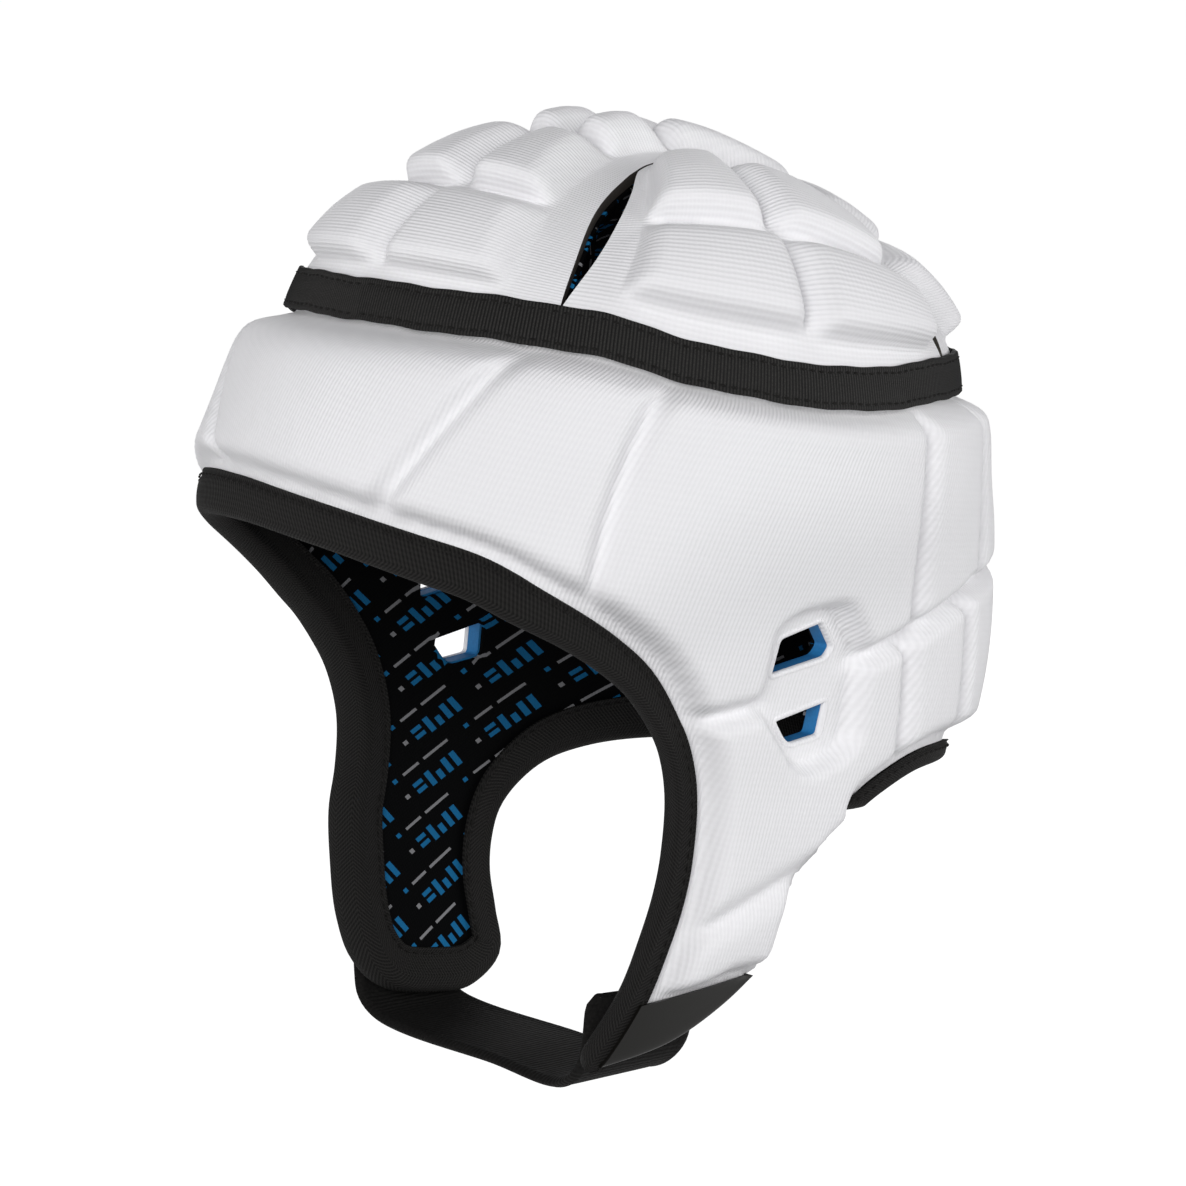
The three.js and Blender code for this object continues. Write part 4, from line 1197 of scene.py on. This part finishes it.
class HELMET_OT_crown(PieceOperator, bpy.types.Operator):
    """Builds the crown's centre panel and side panels as moulded blocks with open slits"""
    bl_idname = "helmet.crown"
    bl_label = "Crown panels"

    def execute(self, context):
        pads = context.scene.helmet_pads
        knit = white_knit("crown_knit", pads.white, pads.knit_pitch, 90)
        side_knit = white_knit("crown_side_knit", pads.white, pads.knit_pitch, 0)
        cut = cut_foam("crown_cut_edge", pads.cut_edge, 0.3)
        lifts = (0.0, -CROWN["wall"])
        centre = centre_wall(FINE, lifts, PANEL["seam"])
        left = side_wall(FINE, lifts, PANEL["seam"])
        for name, wall, cloth in (("crown_centre_{}", centre, knit),
                                  ("crown_side_{}_left", left, side_knit),
                                  ("crown_side_{}_right", flipped(left), side_knit)):
            piece = add_piece(name.format("pads"), wall, [cloth, cloth, cut],
                              name.format("panel"))
        return {"FINISHED"}


class HELMET_OT_lower_shell(PieceOperator, bpy.types.Operator):
    """Builds the lower shell's pads, with their grooves, borders and vent lips"""
    bl_idname = "helmet.lower_shell"
    bl_label = "Lower shell"

    def execute(self, context):
        pads = context.scene.helmet_pads
        azimuth, row, height, faces, shift = shell_sheet(SHELL_COLUMNS, FINE, PADS_INSET, VENT_FLOOR)
        used = np.unique(faces)
        depth = np.full(len(row), PAD)
        share, swell = pad_share(azimuth[used], row[used], height[used])
        depth[used] = PAD * (1 - share) - PUFF["height"] * (swell - 0.5) * share
        outer = shell_point(azimuth, row, depth) + shift
        under = np.where(near_holes(azimuth, row), VENT_SKIN, SHELL_INSIDE)
        inner = shell_point(azimuth, row, under) + shift
        shell = with_uv(walled(outer, inner, faces), shell_weave(azimuth, height), 360 * DEGREE)
        lips = [lip_ring(hole, side) for hole in HOLE_OUTLINES for side in (1, -1)]
        lips = [dict(outward(lip), part=np.zeros_like(lip["part"])) for lip in lips]
        knit = white_knit("shell_knit", pads.white, pads.knit_pitch, 14)
        pads_and_lips = joined([outward(shell), *lips])
        piece = add_piece("lower_shell_pads", pads_and_lips, [knit], "lower_shell")
        return {"FINISHED"}


class HELMET_OT_vent_foam(PieceOperator, bpy.types.Operator):
    """Builds the blue foam round the ear vents' holes"""
    bl_idname = "helmet.vent_foam"
    bl_label = "Vent foam"

    def execute(self, context):
        foam = cut_foam("vent_foam", context.scene.helmet_pads.foam, 0.2)
        for side, word in ((1, "left"), (-1, "right")):
            rings = joined([outward(foam_ring(hole, side)) for hole in HOLE_OUTLINES])
            piece = add_piece(f"vent_foam_{word}", rings, [foam], f"ear_vent_foam_{word}",
                              crease=40)
        return {"FINISHED"}


class HELMET_OT_linings(PieceOperator, bpy.types.Operator):
    """Builds the printed linings of the crown and of the lower shell"""
    bl_idname = "helmet.linings"
    bl_label = "Linings"

    def execute(self, context):
        trim = context.scene.helmet_trim
        colours = dict(lining=trim.lining, print_blue=trim.print_blue, print_grey=trim.print_grey)
        knit = printed_knit("printed_lining", colours)
        azimuth, row, height, faces, shift = shell_sheet(LINING_COLUMNS, COARSE, LINING_INSET, LINING[0])
        outer, inner = (shell_point(azimuth, row, depth) + shift for depth in LINING)
        shell = with_uv(walled(outer, inner, faces), shell_weave(azimuth, height), 360 * DEGREE)
        add_piece("shell_lining_knit", shell, [knit], "shell_lining")
        left = side_wall(COARSE, CROWN_LINING, -PANEL["seam"], padded=False)
        centre = centre_wall(COARSE, CROWN_LINING, -PANEL["seam"], padded=False)
        dome = joined([outward(wall) for wall in (centre, left, flipped(left))])
        add_piece("crown_lining_knit", dome, [knit], "crown_lining")
        return {"FINISHED"}


class HELMET_OT_trim(PieceOperator, bpy.types.Operator):
    """Builds the ribbed tape over the seam and the folded binding on the edge, with their stitches"""
    bl_idname = "helmet.trim"
    bl_label = "Tape and binding"

    def execute(self, context):
        black = context.scene.helmet_trim.black
        tape, outer = tape_wall()
        add_piece("seam_tape", tape, [grosgrain("grosgrain", black)], "crown_tape", crease=50)
        path = stations(BOUND_EDGE, BINDING["spacing"])
        web = black_web("binding_web", black, 1.1, 4.5)
        binding = carried(path, binding_profile(path), 0)
        add_piece("folded_binding", binding, [web], "edge_binding", crease=60)
        lines = []
        legs = (outer_leg(path[0])[:, None], np.array([BINDING["leg"]]))
        for depth, out, leg in ((BINDING["outside"], -1, legs[0]), (BINDING["inside"], 1, legs[1])):
            inset = np.maximum(leg - STITCH["inset"], 0.5) + UNDER * turned_under(path[0])[:, None]
            place = beside(path, inset, np.array([depth]))[:, 0]
            lifted = beside(path, inset, np.array([depth + out]))[:, 0]
            lines.append(stitch_line(place, lifted - place))
        for row in TAPE_SEWN_ROWS:
            place = np.vstack([outer[row], outer[row][:1]])
            out = (place - seam_point(0.0, 0.0, 0.0)) * (1, 1, 0)
            lines.append(stitch_line(place, out / np.linalg.norm(out, axis=1, keepdims=True)))
        thread = pile("stitch_thread", scaled(black, 1.6))
        add_piece("stitches", joined(lines), [thread], crease=80)
        return {"FINISHED"}


class HELMET_OT_strap(PieceOperator, bpy.types.Operator):
    """Builds the chin strap and the satin tab that it fastens under"""
    bl_idname = "helmet.strap"
    bl_label = "Chin strap"

    def execute(self, context):
        trim = context.scene.helmet_trim
        add_piece("chin_strap_web", strap_wall(), [pile("strap_pile", trim.black)], "chin_strap")
        add_piece("chin_tab_film", tab_wall(), [satin_film("tab_film", trim.film)], "chin_tab")
        return {"FINISHED"}


# The soft lights: metres from the aim towards the camera, across to its right and up, the side of
# the square, and watts.
LIGHTS = dict(
    key=(2.0, -0.15, 0.15, 1.0, 32.0),
    left=(-0.2, -1.6, 0.1, 1.2, 9.0),
    right=(-0.1, 1.6, 0.2, 1.2, 14.0),
    rear=(-1.8, 0.0, 0.6, 1.2, 12.0),
)
SKY = dict(colour=(0.95, 0.95, 1.0, 1), strength=0.17)
FLOOR = dict(reach=30.0, colour=(0.02, 0.02, 0.02, 1), roughness=0.9, glow=1.0)


class HELMET_OT_stage(PieceOperator, bpy.types.Operator):
    """Sets the pale floor, the soft light and the camera"""
    bl_idname = "helmet.stage"
    bl_label = "Stage"

    def execute(self, context):
        stage, scene = context.scene.helmet_stage, context.scene
        aim = Vector((0, 0, stage.aim_height))
        level = math.cos(stage.elevation)
        back = Vector((math.sin(stage.azimuth) * level, -math.cos(stage.azimuth) * level,
                       math.sin(stage.elevation)))
        camera = bpy.data.objects.new("camera", bpy.data.cameras.new("camera"))
        camera.location = aim + back * stage.distance
        camera.rotation_euler = (-back).to_track_quat("-Z", "Y").to_euler()
        camera.data.lens = camera.data.sensor_width * stage.distance / stage.view_width
        scene.collection.objects.link(camera)
        scene.camera = camera

        height, reach = CAD_BOX[0][2] - stage.floor_drop, FLOOR["reach"]
        mesh = bpy.data.meshes.new("floor")
        corners = [(-reach, -reach), (reach, -reach), (reach, reach), (-reach, reach)]
        mesh.from_pydata([(x, y, height) for x, y in corners], [], [(0, 1, 2, 3)])
        paint = Finish("floor_paint")
        mesh.materials.append(paint.wear(FLOOR["colour"], FLOOR["roughness"], emission_color=(1, 1, 1, 1),
                                         emission_strength=FLOOR["glow"]))
        floor = bpy.data.objects.new("floor", mesh)
        floor.visible_diffuse = False
        scene.collection.objects.link(floor)

        across = Vector((-back.y, back.x, 0)).normalized()
        for name, (near, aside, up, size, power) in LIGHTS.items():
            soft_light(name, aim + back * near + across * aside + Vector((0, 0, up)), aim, size, power)
        world = bpy.data.worlds.new("studio")
        world.use_nodes = True
        sky = world.node_tree.nodes["Background"].inputs
        sky["Color"].default_value = SKY["colour"]
        sky["Strength"].default_value = SKY["strength"]
        scene.world = world
        scene.view_settings.view_transform = "Standard"
        return {"FINISHED"}


def soft_light(name, place, aim, size, power):
    """A square soft light that faces the helmet."""
    data = bpy.data.lights.new(name, "AREA")
    data.size, data.energy = size, power
    light = bpy.data.objects.new(name, data)
    light.location = place
    light.rotation_euler = (aim - place).to_track_quat("-Z", "Y").to_euler()
    bpy.context.scene.collection.objects.link(light)


class HELMET_PT_sidebar(bpy.types.Panel):
    """Lists the helmet's sizes, colours and steps"""
    bl_idname = "HELMET_PT_sidebar"
    bl_label = "Soft shell helmet"
    bl_space_type = "VIEW_3D"
    bl_region_type = "UI"
    bl_category = "Helmet"

    def draw(self, context):
        for group in (context.scene.helmet_pads, context.scene.helmet_trim, context.scene.helmet_stage):
            box = self.layout.box()
            for name in group.__annotations__:
                box.prop(group, name)
        for step in STEPS:
            self.layout.operator(step.bl_idname)


STEPS = (HELMET_OT_crown, HELMET_OT_lower_shell, HELMET_OT_vent_foam, HELMET_OT_linings, HELMET_OT_trim,
         HELMET_OT_strap, HELMET_OT_stage)
GROUPS = dict(helmet_pads=HelmetPads, helmet_trim=HelmetTrim, helmet_stage=HelmetStage)


def register():
    """Registers the classes and gives the scene its groups of values."""
    for cls in (*GROUPS.values(), *STEPS, HELMET_PT_sidebar):
        bpy.utils.register_class(cls)
    for name, group in GROUPS.items():
        setattr(bpy.types.Scene, name, bpy.props.PointerProperty(type=group))


def unregister():
    """Takes the groups of values and the classes away again."""
    for name in GROUPS:
        delattr(bpy.types.Scene, name)
    for cls in (HELMET_PT_sidebar, *STEPS[::-1], *GROUPS.values()):
        bpy.utils.unregister_class(cls)


def main():
    """Runs the steps in order."""
    register()
    bpy.ops.helmet.crown()
    bpy.ops.helmet.lower_shell()
    bpy.ops.helmet.vent_foam()
    bpy.ops.helmet.linings()
    bpy.ops.helmet.trim()
    bpy.ops.helmet.strap()
    bpy.ops.helmet.stage()


if __name__ == "__main__":
    main()
